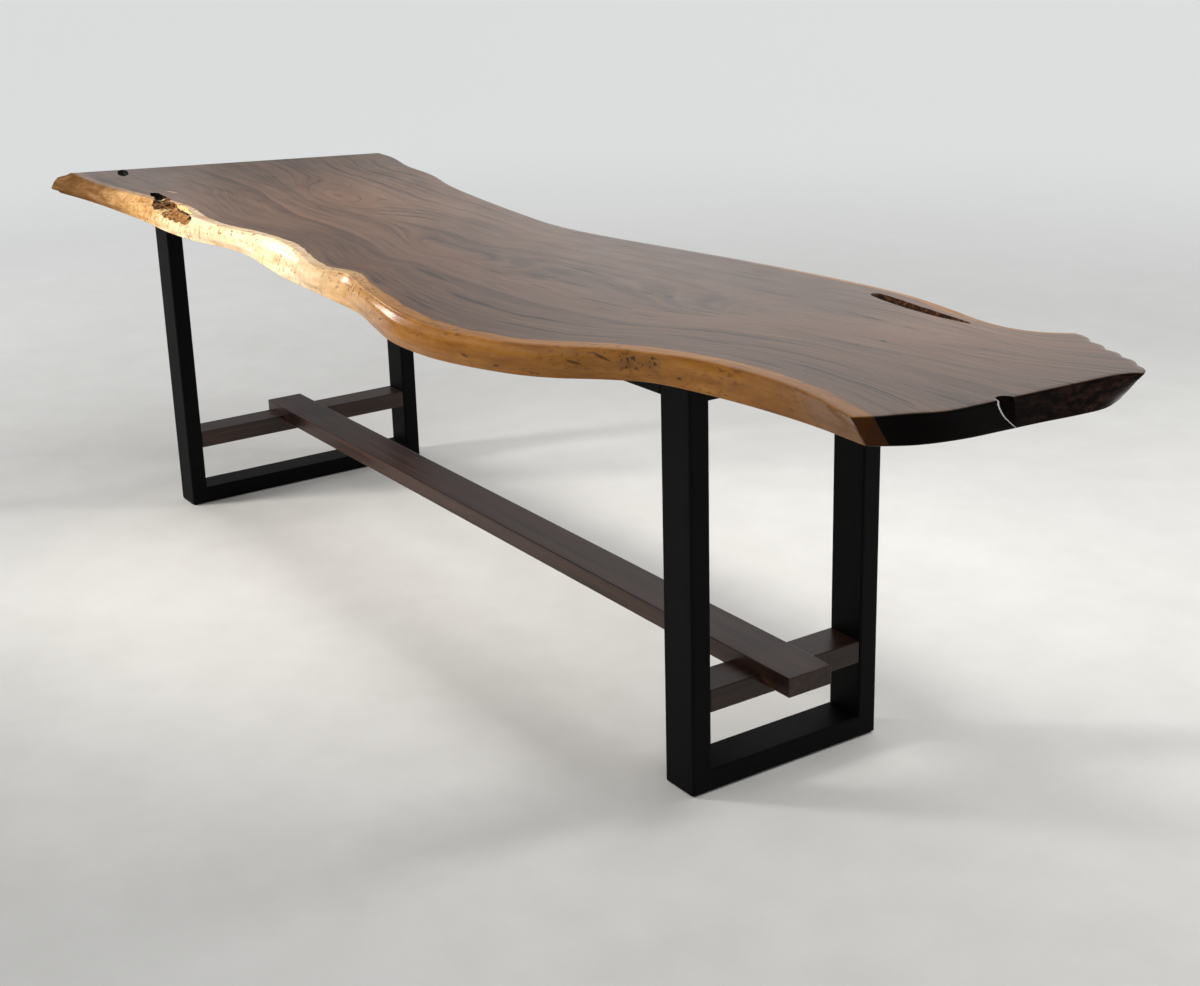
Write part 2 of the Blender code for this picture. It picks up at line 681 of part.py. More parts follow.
def split(slab, name, place, reach, top, low, slant):
    """A tapering gouge down an end of the slab, leaning sideways by the slant from top to bottom."""
    shaping = bmesh.new()
    rings = []
    for depth, width in ((-0.2, top), (1.2, low)):
        z = TABLE_HEIGHT - depth * SLAB_THICKNESS
        ring = []
        for step in range(10):
            angle = step * math.tau / 10
            x = place[0] + reach * width / top * math.cos(angle)
            y = place[1] + slant * depth + width / 2 * math.sin(angle)
            ring.append(shaping.verts.new((x, y, z)))
        rings.append(ring)
    shaping.faces.new(rings[0])
    shaping.faces.new(list(reversed(rings[1])))
    for i in range(10):
        shaping.faces.new((rings[0][i - 1], rings[1][i - 1], rings[1][i], rings[0][i]))
    bmesh.ops.recalc_face_normals(shaping, faces=shaping.faces)
    cut(slab, name, to_mesh(name, shaping))


def hollow(slab, name, size, place, turn):
    """Scoops an egg shape out of the slab."""
    shaping = bmesh.new()
    bmesh.ops.create_uvsphere(shaping, u_segments=20, v_segments=10, radius=0.5)
    bmesh.ops.scale(shaping, vec=size, verts=shaping.verts)
    cut(slab, name, to_mesh(name, shaping), place, turn)


def slab_top():
    slab = add("slab_top", slab_body(), SLAB_WOOD)
    cut(slab, "void", void_cutter())
    size = (POCKET_LENGTH, POCKET_BITE, POCKET_HEIGHT)
    place = (*POCKET_CENTRE, TABLE_HEIGHT - POCKET_DROP)
    hollow(slab, "bark pocket", size, place, (0, POCKET_DIP, POCKET_TURN))
    size = (BARK_HOLE_LENGTH, BARK_HOLE_WIDTH, BARK_HOLE_DEPTH * 2)
    hollow(slab, "bark hole", size, (*BARK_HOLE_AT, TABLE_HEIGHT), (0, 0, 0))
    size = (FAR_HOLLOW_LENGTH, FAR_HOLLOW_WIDTH, FAR_HOLLOW_DEPTH * 2)
    hollow(slab, "far hollow", size, (*FAR_HOLLOW_AT, TABLE_HEIGHT), (0, 0, FAR_HOLLOW_TURN))
    split(
        slab, "near split", NEAR_SPLIT_AT, NEAR_SPLIT_REACH, NEAR_SPLIT_TOP, NEAR_SPLIT_LOW,
        NEAR_SPLIT_SLANT,
    )
    deep = INSERT_LENGTH + INSERT_HOLE_SPARE
    for end in FRAMES:
        for name, (x, y) in bolt_places(end).items():
            hole = rod(f"{name} slab hole", INSERT_DIAMETER + 2 * HOLE_FIT, deep * 2)
            cut(slab, f"{name} slab hole", hole, (x, y, SLAB_BOTTOM - deep))


slab_top()
under_rails()
long_stretcher()
for end in FRAMES:
    frame(end)
    glide_pads(end)
    cross_stretcher(end)
    seat_tabs(end)
    lap_screws(end)
    mounting_plates(end)
    slab_fasteners(end)
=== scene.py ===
"""Looks of the live-edge bar table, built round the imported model. Metres, +Z up."""

import json
import math

import bmesh
import bpy
import numpy as np
from mathutils import Euler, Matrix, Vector, noise
from mathutils.kdtree import KDTree


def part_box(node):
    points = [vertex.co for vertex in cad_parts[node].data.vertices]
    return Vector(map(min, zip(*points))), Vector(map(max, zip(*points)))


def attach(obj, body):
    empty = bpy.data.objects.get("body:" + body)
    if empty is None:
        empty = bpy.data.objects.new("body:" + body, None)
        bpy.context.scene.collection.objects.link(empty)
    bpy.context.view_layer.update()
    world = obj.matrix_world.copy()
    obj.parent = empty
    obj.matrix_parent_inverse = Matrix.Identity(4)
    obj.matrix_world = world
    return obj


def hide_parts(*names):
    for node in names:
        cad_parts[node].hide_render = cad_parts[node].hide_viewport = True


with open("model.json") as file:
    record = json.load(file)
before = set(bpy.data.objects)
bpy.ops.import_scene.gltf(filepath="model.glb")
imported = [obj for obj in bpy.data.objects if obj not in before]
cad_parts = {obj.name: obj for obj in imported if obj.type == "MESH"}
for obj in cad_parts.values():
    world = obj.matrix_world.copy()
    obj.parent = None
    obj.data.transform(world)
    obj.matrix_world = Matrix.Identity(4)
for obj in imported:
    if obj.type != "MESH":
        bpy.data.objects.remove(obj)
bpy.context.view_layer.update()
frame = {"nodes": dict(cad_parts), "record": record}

# Slab: the same outlines as the solid. They are drawn about the middle of the base, which lies here
BASE = np.array((0.0098, 0.0335))
TOP_Z = 1.020
THICKNESS = 0.066
EDGE_EASE = 0.003  # radius of the rounded arrises
BACK_SWELL = 0.007
BACK_FLARE = 0.012

# Corners: place at the top face, place at the bottom face, swell
FAR_CORNER = (-1.945, -0.475, -1.964, -0.512, 0.052)
FRONT_NEAR_CORNER = (1.860, -0.335, 1.849, -0.289, 0)
TIP_CORNER = (1.989, 0.265, 1.936, 0.266, 0)
BACK_NEAR_CORNER = (1.713, 0.397, 1.700, 0.392, 0)
BACK_FAR_CORNER = (-1.569, 0.525, -1.570, 0.537, 0)

# How far each lobe of the broken corner stands out
LOBE_RISE = 0.008

# Front edge: distance along, across at the top face, across at the bottom face, swell
FRONT_EDGE = [
    (-1.700, -0.487, -0.494, 0.018), (-1.450, -0.477, -0.487, 0.016), (-1.200, -0.456, -0.486, 0.014),
    (-1.000, -0.462, -0.497, 0.012), (-0.800, -0.475, -0.488, 0.010), (-0.650, -0.471, -0.460, 0.010),
    (-0.500, -0.450, -0.453, 0.010), (-0.330, -0.434, -0.474, 0.008), (-0.150, -0.455, -0.497, 0.008),
    (0.060, -0.505, -0.509, 0.010), (0.190, -0.481, -0.516, 0.006), (0.350, -0.518, -0.528, 0.008),
    (0.500, -0.549, -0.564, 0.010), (0.650, -0.574, -0.595, 0.012), (0.800, -0.579, -0.595, 0.012),
    (0.920, -0.558, -0.570, 0.010), (1.040, -0.518, -0.526, 0.010), (1.120, -0.463, -0.476, 0.008),
    (1.200, -0.393, -0.400, 0.006), (1.280, -0.352, -0.342, 0.004), (1.400, -0.306, -0.312, 0.003),
    (1.550, -0.288, -0.291, 0.002), (1.700, -0.297, -0.283, 0.000),
]

# Back edge: distance along, across at the top face
BACK_EDGE = [
    (1.655, 0.349), (1.590, 0.330), (1.510, 0.334), (1.400, 0.358), (1.250, 0.381), (1.100, 0.380),
    (0.940, 0.369), (0.680, 0.335), (0.450, 0.297), (0.290, 0.270), (0.120, 0.250), (-0.040, 0.251),
    (-0.260, 0.277), (-0.540, 0.319), (-0.760, 0.360), (-1.000, 0.424), (-1.220, 0.455), (-1.430, 0.509),
]

# Points of the near end and cusps of its broken corner, as the corners above
NEAR_END = [
    (1.882, -0.300, 1.870, -0.264, 0), (1.906, -0.243, 1.903, -0.210, 0), (1.936, -0.178, 1.926, -0.128, 0),
    (1.945, -0.075, 1.936, -0.030, 0), (1.951, 0.020, 1.943, 0.050, 0), (1.958, 0.129, 1.953, 0.130, 0),
    (1.967, 0.225, 1.956, 0.205, 0),
]
BROKEN_CUSPS = [
    (1.946, 0.300, 1.908, 0.288, 0), (1.890, 0.325, 1.866, 0.310, 0), (1.834, 0.344, 1.814, 0.330, 0),
    (1.776, 0.368, 1.758, 0.352, 0),
]

# Natural hollows, as in the solid. Void: its two ends, width, bow, depth, share of its size at the floor
VOID = ((1.188, 0.333), (1.533, 0.295), 0.036, 0.008, 0.045, 0.6)

# Egg-shaped hollows: place from the middle of the top face, size, turn
POCKET = ((-1.015, -0.472, -0.006), (0.370, 0.092, 0.048), (0, 0.030, -0.060))
BARK_HOLE = ((-1.280, -0.416, 0), (0.105, 0.034, 0.044), (0, 0, -0.120))
FAR_HOLLOW = ((-1.807, -0.338, 0), (0.150, 0.036, 0.028), (0, 0, -0.290))

# Split in the near end: place, reach along, width at the top and at the bottom, slant
NEAR_SPLIT = ((1.947, -0.050), 0.020, 0.040, 0.008, 0.038)

# Pit in the pocket, painted black as its shade: distance along, depth below the top, half length, half height
PIT = (-0.930, 0.021, 0.017, 0.0055)

# Bark in the pocket: where its strip widens, and where it drops to the brown patch at the near end
STRIP = (-1.210, -1.160)
PATCH = (-1.110, -1.030)

# Ragged bark that joins the hole to the pocket, an egg as well
BARK_NECK = ((-1.195, -0.430, 0), (0.160, 0.046, 0.022), (0, 0, -0.200))

# Outline of the void: share of its width, powers of the blunt and the pointed end, size at the mouth,
# waves of the walls, and the share of the length that stays in place as it narrows
VOID_SHARE = 0.82
VOID_BLUNT = 0.25
VOID_POINTED = 0.55
VOID_MOUTH = 1.05
VOID_WAVES = 0.45
VOID_HELD = 0.3
VOID_LEVELS = 9
VOID_SIDES = 72

# How far the cutters stand clear of the faces: the void's in metres, the split's as a share of the thickness
VOID_CLEAR = 0.010
SPLIT_CLEAR = 0.2
SPLIT_LEVELS = 15
SPLIT_SIDES = 28

# Holes for the threaded inserts: radius, and how much deeper than the insert
INSERT_HOLE_RADIUS = 0.0069
INSERT_HOLE_SPARE = 0.003

# Burls in the front edge: distance along, depth below the top, half length, half height, depth of the dent
BURLS = [(1.243, 0.024, 0.018, 0.018, 0.006), (1.287, 0.026, 0.017, 0.017, 0.006)]

# Their form: dip in the middle, rim round it, how much wider the rim is, and how far they reach
BURL_DIP = 1.25
BURL_RIM = 0.55
BURL_RIM_SPREAD = 3.2
BURL_REACH = 3

# Insect marks in the front edge: distance along, depth below the top, half length, half height, slope
MARKS = [
    (1.155, 0.030, 0.012, 0.0030, -0.35), (1.196, 0.018, 0.017, 0.0026, -0.45),
    (1.350, 0.044, 0.006, 0.0030, 0.0), (0.930, 0.040, 0.010, 0.0028, -0.20),
    (1.010, 0.050, 0.008, 0.0026, 0.2), (0.560, 0.030, 0.012, 0.0030, 0.3),
]

# Fineness of the slab's mesh, closer where the burls and the bark pocket are: share of the length at which
# it is closest, half length as a share, how much closer
ALONG = 440
ALONG_SAMPLES = 4000
CLOSER = [(0.765, 0.030, 2.4), (0.235, 0.060, 1.2)]
END_STEPS = 44
LOBE_STEPS = 7
SIDE_LEVELS = 13
ARRIS_TURNS = (0, 30, 60)
SHARP_ANGLE = 38

# How soon the shape of the near end fades out of the faces; lower powers fold them beside the broken corner
END_FADE = 8

# Swell of the side: its share at the arrises, and the depths between which it is full
ARRIS_SWELL = 0.15
SWELL_FROM = 0.30
SWELL_TO = 0.65

# Unevenness of the live edges: scales along and down, height of the broad and the fine part, share at the
# arrises, and how often its mask is blurred towards the cut ends
ROUGH_SCALE = 9
ROUGH_SCALE_DOWN = 0.9
ROUGH_BROAD = 0.0009
ROUGH_FINE = 0.0002
ROUGH_FINER = 4.1
ROUGH_AT_ARRIS = 0.35
LIVE_BLUR = 8
LIVE_LEAST = 0.02

# Grain space: the length and width that the slab is drawn out to
GRAIN_LENGTH = 4.0
GRAIN_WIDTH = 0.85

# Materials of the slab's walls, after the wood itself; the last is near black, painted shade in the deep
# holes and splits
BARK_WALL, VOID_WALL, PIT_SHADE_WALL = 1, 2, 3


def smooth_line(rows, between=16):
    """A smooth line through the rows, with so many points from each row to the next."""
    rows = np.array(rows, float)
    line = []
    for i in range(len(rows) - 1):
        before, start, end = rows[max(i - 1, 0)], rows[i], rows[i + 1]
        after = rows[min(i + 2, len(rows) - 1)]
        for t in np.arange(between) / between:
            line.append(
                0.5 * (2 * start + (end - before) * t + (2 * before - 5 * start + 4 * end - after) * t * t
                + (3 * start - before - 3 * end + after) * t ** 3)
            )
    line.append(rows[-1])
    return np.array(line)


def even(line, shares):
    """The line again, with its points at the given shares of its length."""
    step = np.hypot(*np.diff(line[:, :2], axis=0).T)
    far = np.concatenate([[0], np.cumsum(step)])
    return np.stack([np.interp(shares * far[-1], far, column) for column in line.T], 1)


def steps(count):
    """Even shares from 0 to 1."""
    return np.linspace(0, 1, count + 1)


def steps_along():
    """Shares of the slab's length, closer together where it has fine detail."""
    fine = steps(ALONG_SAMPLES)
    weight = 1 + sum(more * np.exp(-((fine - at) / half) ** 2) for at, half, more in CLOSER)
    sums = np.cumsum(weight) - weight[0]
    return np.interp(steps(ALONG), sums / sums[-1], fine)


def slab_sides():
    """Front, near, back and far boundary of the slab; the front and back run from the far end on."""
    front = [FAR_CORNER] + [(x, top, x, low, swell) for x, top, low, swell in FRONT_EDGE]
    front.append(FRONT_NEAR_CORNER)
    back = [BACK_NEAR_CORNER] + [(x, y, x, y + BACK_FLARE, BACK_SWELL) for x, y in BACK_EDGE]
    back.append(BACK_FAR_CORNER)
    near = [even(smooth_line([FRONT_NEAR_CORNER, *NEAR_END, TIP_CORNER]), steps(END_STEPS))]
    cusps = [TIP_CORNER, *BROKEN_CUSPS, BACK_NEAR_CORNER]
    for start, end in zip(cusps, cusps[1:]):
        start, end = np.array(start, float), np.array(end, float)
        middle = (start + end) / 2
        for low in (0, 2):
            ahead = end[low:low + 2] - start[low:low + 2]
            middle[low:low + 2] += np.array((ahead[1], -ahead[0])) / np.hypot(*ahead) * LOBE_RISE
        near.append(even(smooth_line([start, middle, end]), steps(LOBE_STEPS))[1:])
    near = np.concatenate(near)
    far = even(np.array([(*FAR_CORNER[:4], 0), BACK_FAR_CORNER], float), steps(len(near) - 1))
    lengthwise = steps_along()
    back = even(smooth_line(back)[::-1], lengthwise)
    return even(smooth_line(front), lengthwise), near, back, far


def outward(line):
    """Directions that point away from the closed line."""
    along = np.roll(line, -1, 0) - np.roll(line, 1, 0)
    ways = np.stack([along[:, 1], -along[:, 0]], 1)
    return ways / np.hypot(*ways.T)[:, None]


def smoothstep(low, high, value):
    """0 below the low value, 1 above the high one, smooth between."""
    t = np.clip((value - low) / (high - low), 0, 1)
    return t * t * (3 - 2 * t)


def patch(front, near, back, far):
    """A sheet of points that fills the four boundary lines."""
    u = steps_along()[:, None, None] ** END_FADE
    v = steps(len(near) - 1)[None, :, None]
    ruled = (1 - v) * front[:, None] + v * back[:, None] + (1 - u) * far[None] + u * near[None]
    low = (1 - u) * front[0] + u * front[-1]
    high = (1 - u) * back[0] + u * back[-1]
    return ruled - ((1 - v) * low + v * high)


def side_levels():
    """Levels of the slab's side: share of the thickness, inset at the arris, share of the swell."""
    ease = EDGE_EASE / THICKNESS
    rounded = []
    for turn in ARRIS_TURNS:
        a = math.radians(turn)
        rounded.append((ease * (1 - math.cos(a)), math.sin(a) - 1, ARRIS_SWELL * math.sin(a)))
    plain = []
    for depth in np.linspace(ease, 1 - ease, SIDE_LEVELS):
        full = smoothstep(ease, SWELL_FROM, depth) * (1 - smoothstep(SWELL_TO, 1 - ease, depth))
        plain.append((depth, 0, ARRIS_SWELL + (1 - ARRIS_SWELL) * full))
    return rounded + plain + [(1 - depth, inset, share) for depth, inset, share in reversed(rounded)]


def edge_relief(x, y, depth, on_front):
    """How far a point of the live edge stands out of the plain form."""
    place = Vector((x * ROUGH_SCALE, y * ROUGH_SCALE, depth * ROUGH_SCALE_DOWN))
    relief = noise.fractal(place, 1.0, 2.0, 3) * ROUGH_BROAD + noise.noise(place * ROUGH_FINER) * ROUGH_FINE
    for at, below, half, high, dent in BURLS:
        if on_front and abs(x - at) < BURL_REACH * half:
            away = ((x - at) / half) ** 2 + ((depth * THICKNESS - below) / high) ** 2
            relief -= dent * (BURL_DIP * math.exp(-away) - BURL_RIM * math.exp(-away / BURL_RIM_SPREAD))
    return relief


def side_rings(loop, levels, live, v):
    """A ring of points for each level, pushed out by the swell and the relief of the live edges."""
    ease = EDGE_EASE / THICKNESS
    depths = [0, ease, SWELL_FROM, SWELL_TO, 1 - ease, 1]
    shares = [0, 0, SWELL_FROM, SWELL_TO, 1, 1]
    rings = []
    for depth, inset, share in levels:
        blend = np.interp(depth, depths, shares)
        line = loop[:, :2] * (1 - blend) + loop[:, 2:4] * blend
        push = inset * EDGE_EASE + share * loop[:, 4]
        bulge = ROUGH_AT_ARRIS + (1 - ROUGH_AT_ARRIS) * math.sin(math.pi * depth)
        for i in np.nonzero(live > LIVE_LEAST)[0]:
            push[i] += live[i] * bulge * edge_relief(*line[i], depth, v[i] == 0)
        rings.append(line + outward(line) * push[:, None])
    return rings


def slab_faces(across, around, level_count):
    """Faces of the upper and lower grid, and of the bands between them."""
    row = across + 1
    rim = [i * row for i in range(ALONG)] + [ALONG * row + j for j in range(across)]
    rim += [i * row + across for i in range(ALONG, 0, -1)] + list(range(across, 0, -1))
    first_side = (ALONG + 1) * row
    first_low = first_side + around * (level_count - 2)
    bands = [rim]
    for k in range(level_count - 2):
        bands.append([first_side + k * around + i for i in range(around)])
    bands.append([first_low + i for i in rim])
    faces = []
    for i in range(ALONG):
        for j in range(across):
            a = i * row + j
            low = first_low + a
            faces.append((a, a + row, a + row + 1, a + 1))
            faces.append((low, low + 1, low + row + 1, low + row))
    for upper, lower in zip(bands, bands[1:]):
        for k in range(around):
            after = (k + 1) % around
            faces.append((upper[k], lower[k], lower[after], upper[after]))
    return faces


def slab_mesh():
    """The slab as a fine closed mesh: points, faces, and for each point its place in grain space, its
    distances from the front and the back edge, and whether it lies on a cut end."""
    front, near, back, far = slab_sides()
    across = len(near) - 1
    loop = np.concatenate([front[:-1], near[:-1], back[:0:-1], far[:0:-1]])
    lengthwise = steps_along()
    crosswise = steps(across)
    u = np.concatenate([lengthwise[:-1], np.ones(across), lengthwise[:0:-1], np.zeros(across)])
    v = np.concatenate([np.zeros(ALONG), crosswise[:-1], np.ones(ALONG), crosswise[:0:-1]])
    is_end = np.concatenate([np.zeros(ALONG), np.ones(across), np.zeros(ALONG), np.ones(across)])
    is_end[0] = is_end[ALONG + across] = 0.5
    live = 1 - is_end
    for _ in range(LIVE_BLUR):
        live = (np.roll(live, 1) + live + np.roll(live, -1)) / 3
    live *= 1 - is_end
    levels = side_levels()
    rings = side_rings(loop, levels, live, v)
    edges = KDTree(ALONG + 1), KDTree(ALONG + 1)
    for tree, line in zip(edges, (front, back)):
        for i, row in enumerate(line):
            tree.insert((row[0], row[1], 0), i)
        tree.balance()
    points = []
    carried = []

    def put(x, y, depth, along, over, end, on_edge=None):
        points.append((x + BASE[0], y + BASE[1], TOP_Z - depth * THICKNESS))
        gaps = [tree.find((x, y, 0))[2] for tree in edges]
        if on_edge is not None:
            gaps[on_edge] = 0
        flow = (along - 0.5) * GRAIN_LENGTH, (over - 0.5) * GRAIN_WIDTH, -depth * THICKNESS
        carried.append((*flow, *gaps, end))

    def put_face(ring, depth):
        grid = patch(*split_loop(ring, across))
        for i in range(ALONG + 1):
            for j in range(across + 1):
                put(*grid[i, j], depth, lengthwise[i], j / across, 0)

    put_face(rings[0], 0)
    for (depth, inset, _), ring in zip(levels[1:-1], rings[1:-1]):
        for k in range(len(loop)):
            on_edge = int(v[k]) if v[k] in (0, 1) and is_end[k] < 1 else None
            put(*ring[k], depth, u[k], v[k], is_end[k] * (1 + inset), on_edge)
    put_face(rings[-1], 1)
    return points, slab_faces(across, len(loop), len(levels)), np.array(carried)


def split_loop(ring, across):
    """The four boundary lines of a closed ring of points."""
    closed = np.concatenate([ring, ring[:1]])
    front = closed[:ALONG + 1]
    near = closed[ALONG:ALONG + across + 1]
    back = closed[ALONG + across:2 * ALONG + across + 1][::-1]
    far = closed[2 * ALONG + across:][::-1]
    return front, near, back, far


def finish_cutter(shaping, wall, amount, scale):
    """The cutter with its walls roughened by up to the amount, and with the wall's material."""
    bmesh.ops.recalc_face_normals(shaping, faces=shaping.faces)
    shaping.normal_update()
    for vert in shaping.verts:
        vert.co += vert.normal * noise.fractal(vert.co * scale, 0.9, 2.1, 4) * amount
    for face in shaping.faces:
        face.material_index = wall
    return shaping


def rough_shell(rings, wall, amount=0.0, scale=1.0):
    """A closed cutter through rings of points."""
    shaping = bmesh.new()
    made = [[shaping.verts.new(point) for point in ring] for ring in rings]
    shaping.faces.new(made[0])
    shaping.faces.new(list(reversed(made[-1])))
    for upper, lower in zip(made, made[1:]):
        for i in range(len(upper)):
            shaping.faces.new((upper[i - 1], lower[i - 1], lower[i], upper[i]))
    bmesh.ops.triangulate(shaping, faces=shaping.faces)
    return finish_cutter(shaping, wall, amount, scale)


def egg(place, size, turn, wall, amount, scale):
    """An egg-shaped cutter."""
    shaping = bmesh.new()
    bmesh.ops.create_uvsphere(shaping, u_segments=72, v_segments=30, radius=0.5)
    bmesh.ops.scale(shaping, vec=size, verts=shaping.verts)
    bmesh.ops.rotate(shaping, matrix=Euler(turn).to_matrix(), verts=shaping.verts)
    middle = place[0] + BASE[0], place[1] + BASE[1], place[2] + TOP_Z
    bmesh.ops.translate(shaping, vec=middle, verts=shaping.verts)
    return finish_cutter(shaping, wall, amount, scale)


def void_shell():
    """Cutter of the long void: blunt at one end, pointed at the other, narrower and wavier lower down."""
    start, end, width, bow, deep, floor_share = VOID
    start, end = np.array(start) + BASE, np.array(end) + BASE
    length = np.hypot(*(end - start))
    along = (end - start) / length
    side = np.array((-along[1], along[0]))
    rings = []
    for step in np.linspace(0, 1, VOID_LEVELS):
        z = TOP_Z + VOID_CLEAR - step * (deep + VOID_CLEAR)
        share = VOID_MOUTH + (floor_share - VOID_MOUTH) * step
        ring = []
        for angle in np.arange(VOID_SIDES) * math.tau / VOID_SIDES:
            reach = (1 - math.cos(angle)) / 2
            half = math.copysign(width * share * VOID_SHARE, math.sin(angle))
            half = half * reach ** VOID_BLUNT * (1 - reach) ** VOID_POINTED
            wave = noise.fractal((reach * 9, math.copysign(3, half), step * 3), 0.9, 2.1, 3)
            half *= 1 + VOID_WAVES * step * wave
            over = half - bow * 4 * reach * (1 - reach)
            ahead = ((reach - VOID_HELD) * share + VOID_HELD) * length
            ring.append((*(start + along * ahead + side * over), z))
        rings.append(ring)
    return rough_shell(rings, VOID_WALL)


def split_shell(place, reach, top, low, slant):
    """Cutter of the split: an upright leaning slot that narrows downwards."""
    rings = []
    for depth in np.linspace(-SPLIT_CLEAR, 1 + SPLIT_CLEAR, SPLIT_LEVELS):
        width = top + (low - top) * (depth + SPLIT_CLEAR) / (1 + 2 * SPLIT_CLEAR)
        ring = []
        for angle in np.arange(SPLIT_SIDES) * math.tau / SPLIT_SIDES:
            x = place[0] + BASE[0] + reach * width / top * math.cos(angle)
            y = place[1] + BASE[1] + slant * depth + width / 2 * math.sin(angle)
            ring.append((x, y, TOP_Z - depth * THICKNESS))
        rings.append(ring)
    return rough_shell(rings, PIT_SHADE_WALL, amount=0.0012, scale=60)


def insert_holes():
    """Plain round holes for the threaded inserts, where the solids have them."""
    shaping = bmesh.new()
    for name in frame["nodes"]:
        if not name.endswith("_insert"):
            continue
        low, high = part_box(name)
        middle = (low + high) / 2
        made = bmesh.ops.create_cone(
            shaping, cap_ends=True, segments=32, radius1=INSERT_HOLE_RADIUS, radius2=INSERT_HOLE_RADIUS,
            depth=2 * (high.z - low.z + INSERT_HOLE_SPARE),
        )
        bmesh.ops.translate(shaping, vec=(middle.x, middle.y, low.z), verts=made["verts"])
    return shaping


def to_object(name, shaping):
    """An object in the scene from a shape that is being made."""
    mesh = bpy.data.meshes.new(name)
    shaping.to_mesh(mesh)
    shaping.free()
    made = bpy.data.objects.new(name, mesh)
    bpy.context.scene.collection.objects.link(made)
    return made


class Paint:
    """A material whose nodes are added one by one."""

    def __init__(self, name, **settings):
        self.material = bpy.data.materials.new(name)
        self.material.use_nodes = True
        self.tree = self.material.node_tree
        self.shader = self.tree.nodes["Principled BSDF"]
        for key, value in settings.items():
            self.shader.inputs[key.replace("_", " ")].default_value = value

    def put(self, socket, value):
        if isinstance(value, bpy.types.NodeSocket):
            self.tree.links.new(value, socket)
        else:
            socket.default_value = value

    def shade(self, name, value):
        self.put(self.shader.inputs[name], value)

    def node(self, kind, **settings):
        made = self.tree.nodes.new(kind)
        for key, value in settings.items():
            setattr(made, key, value)
        return made

    def carried(self, name):
        """The parts of what the mesh carries under this name."""
        return self.parts(self.node("ShaderNodeAttribute", attribute_name=name).outputs["Vector"])

    def place(self):
        return self.node("ShaderNodeTexCoord").outputs["Object"]

    def parts(self, vector):
        made = self.node("ShaderNodeSeparateXYZ")
        self.put(made.inputs[0], vector)
        return made.outputs

    def vector(self, x, y, z):
        made = self.node("ShaderNodeCombineXYZ")
        for socket, value in zip(made.inputs, (x, y, z)):
            self.put(socket, value)
        return made.outputs[0]

    def math(self, operation, a, b=0.0, c=0.0, clamp=False):
        made = self.node("ShaderNodeMath", operation=operation, use_clamp=clamp)
        for socket, value in zip(made.inputs, (a, b, c)):
            self.put(socket, value)
        return made.outputs[0]

    def times(self, a, b):
        return self.math("MULTIPLY", a, b)

    def minus(self, a, b):
        return self.math("SUBTRACT", a, b)

    def scaled(self, value, by, plus):
        return self.math("MULTIPLY_ADD", value, by, plus)

    def stretch(self, parts, x, y, z):
        """The place again, with each direction drawn out by its own number."""
        return self.vector(*[self.times(part, by) for part, by in zip(parts, (x, y, z))])

    def noise(self, vector, scale=1.0, detail=2.0, roughness=0.5, distortion=0.0):
        made = self.node("ShaderNodeTexNoise")
        self.put(made.inputs["Vector"], vector)
        made.inputs["Scale"].default_value = scale
        made.inputs["Detail"].default_value = detail
        made.inputs["Roughness"].default_value = roughness
        made.inputs["Distortion"].default_value = distortion
        return made.outputs[0]

    def bands(self, value, scale, detail=3.0, roughness=0.6):
        """Noise along one number, for lines of grain."""
        made = self.node("ShaderNodeTexNoise", noise_dimensions="1D")
        self.put(made.inputs["W"], value)
        made.inputs["Scale"].default_value = scale
        made.inputs["Detail"].default_value = detail
        made.inputs["Roughness"].default_value = roughness
        return made.outputs[0]

    def step(self, value, low, high):
        """Smooth rise from 0 at the first number to 1 at the second, which may be the lower one."""
        made = self.node("ShaderNodeMapRange", interpolation_type="SMOOTHSTEP")
        self.put(made.inputs["Value"], value)
        self.put(made.inputs["From Min"], low)
        self.put(made.inputs["From Max"], high)
        return made.outputs[0]

    def ramp(self, value, *stops):
        """A colour for each value, through the stops."""
        made = self.node("ShaderNodeValToRGB")
        line = made.color_ramp
        while len(line.elements) < len(stops):
            line.elements.new(0.5)
        for element, (at, colour) in zip(line.elements, stops):
            element.position = at
            element.color = (*colour, 1)
        self.put(made.inputs[0], value)
        return made.outputs[0]

    def mix(self, share, a, b, blend="MIX"):
        made = self.node("ShaderNodeMix", data_type="RGBA", blend_type=blend)
        for socket, value in zip((made.inputs[0], made.inputs[6], made.inputs[7]), (share, a, b)):
            self.put(socket, (*value, 1) if isinstance(value, tuple) else value)
        return made.outputs[2]

    def relief(self, height, strength, distance):
        """Fine unevenness of the surface, by its shading alone."""
        made = self.node("ShaderNodeBump")
        made.inputs["Strength"].default_value = strength
        made.inputs["Distance"].default_value = distance
        self.put(made.inputs["Height"], height)
        self.shade("Normal", made.outputs[0])


# Eyes in the figure of the top: grain length, grain width, half length, half width, strength
EYES = [
    (-1.00, 0.035, 0.42, 0.095, 0.210), (0.11, -0.040, 0.42, 0.075, 0.110), (1.36, 0.010, 0.40, 0.090, 0.100),
    (0.70, 0.180, 0.55, 0.090, -0.080), (-1.60, -0.180, 0.40, 0.090, -0.080),
]

# Lighter, warmer areas of the top in grain space: place, half length and width, tint
GLOWS = [
    ((-0.95, 0.12), (0.62, 0.42), (1.55, 1.47, 1.39)),
    ((1.68, 0.22), (0.24, 0.28), (1.66, 1.54, 1.43)),
]

# Small marks on the top face: distance along, across, half length, half width, slope
PALE_FLECK = (-1.300, -0.3555, 0.034, 0.0040, 0.23)
DARK_SPOT = (1.513, 0.062, 0.009, 0.0070, 0.0)

# Near end: where its dark face starts at the top, how that line leans, and the painted highlight along the
# lip of the split beside it
FACET_TOP = -0.304
FACET_LEAN = 0.714
LIP_TOP = -0.0677
LIP_DRIFT = 0.060
LIP_CURVE = 1.6
LIP_HIGHLIGHT_WIDTH = 0.0026

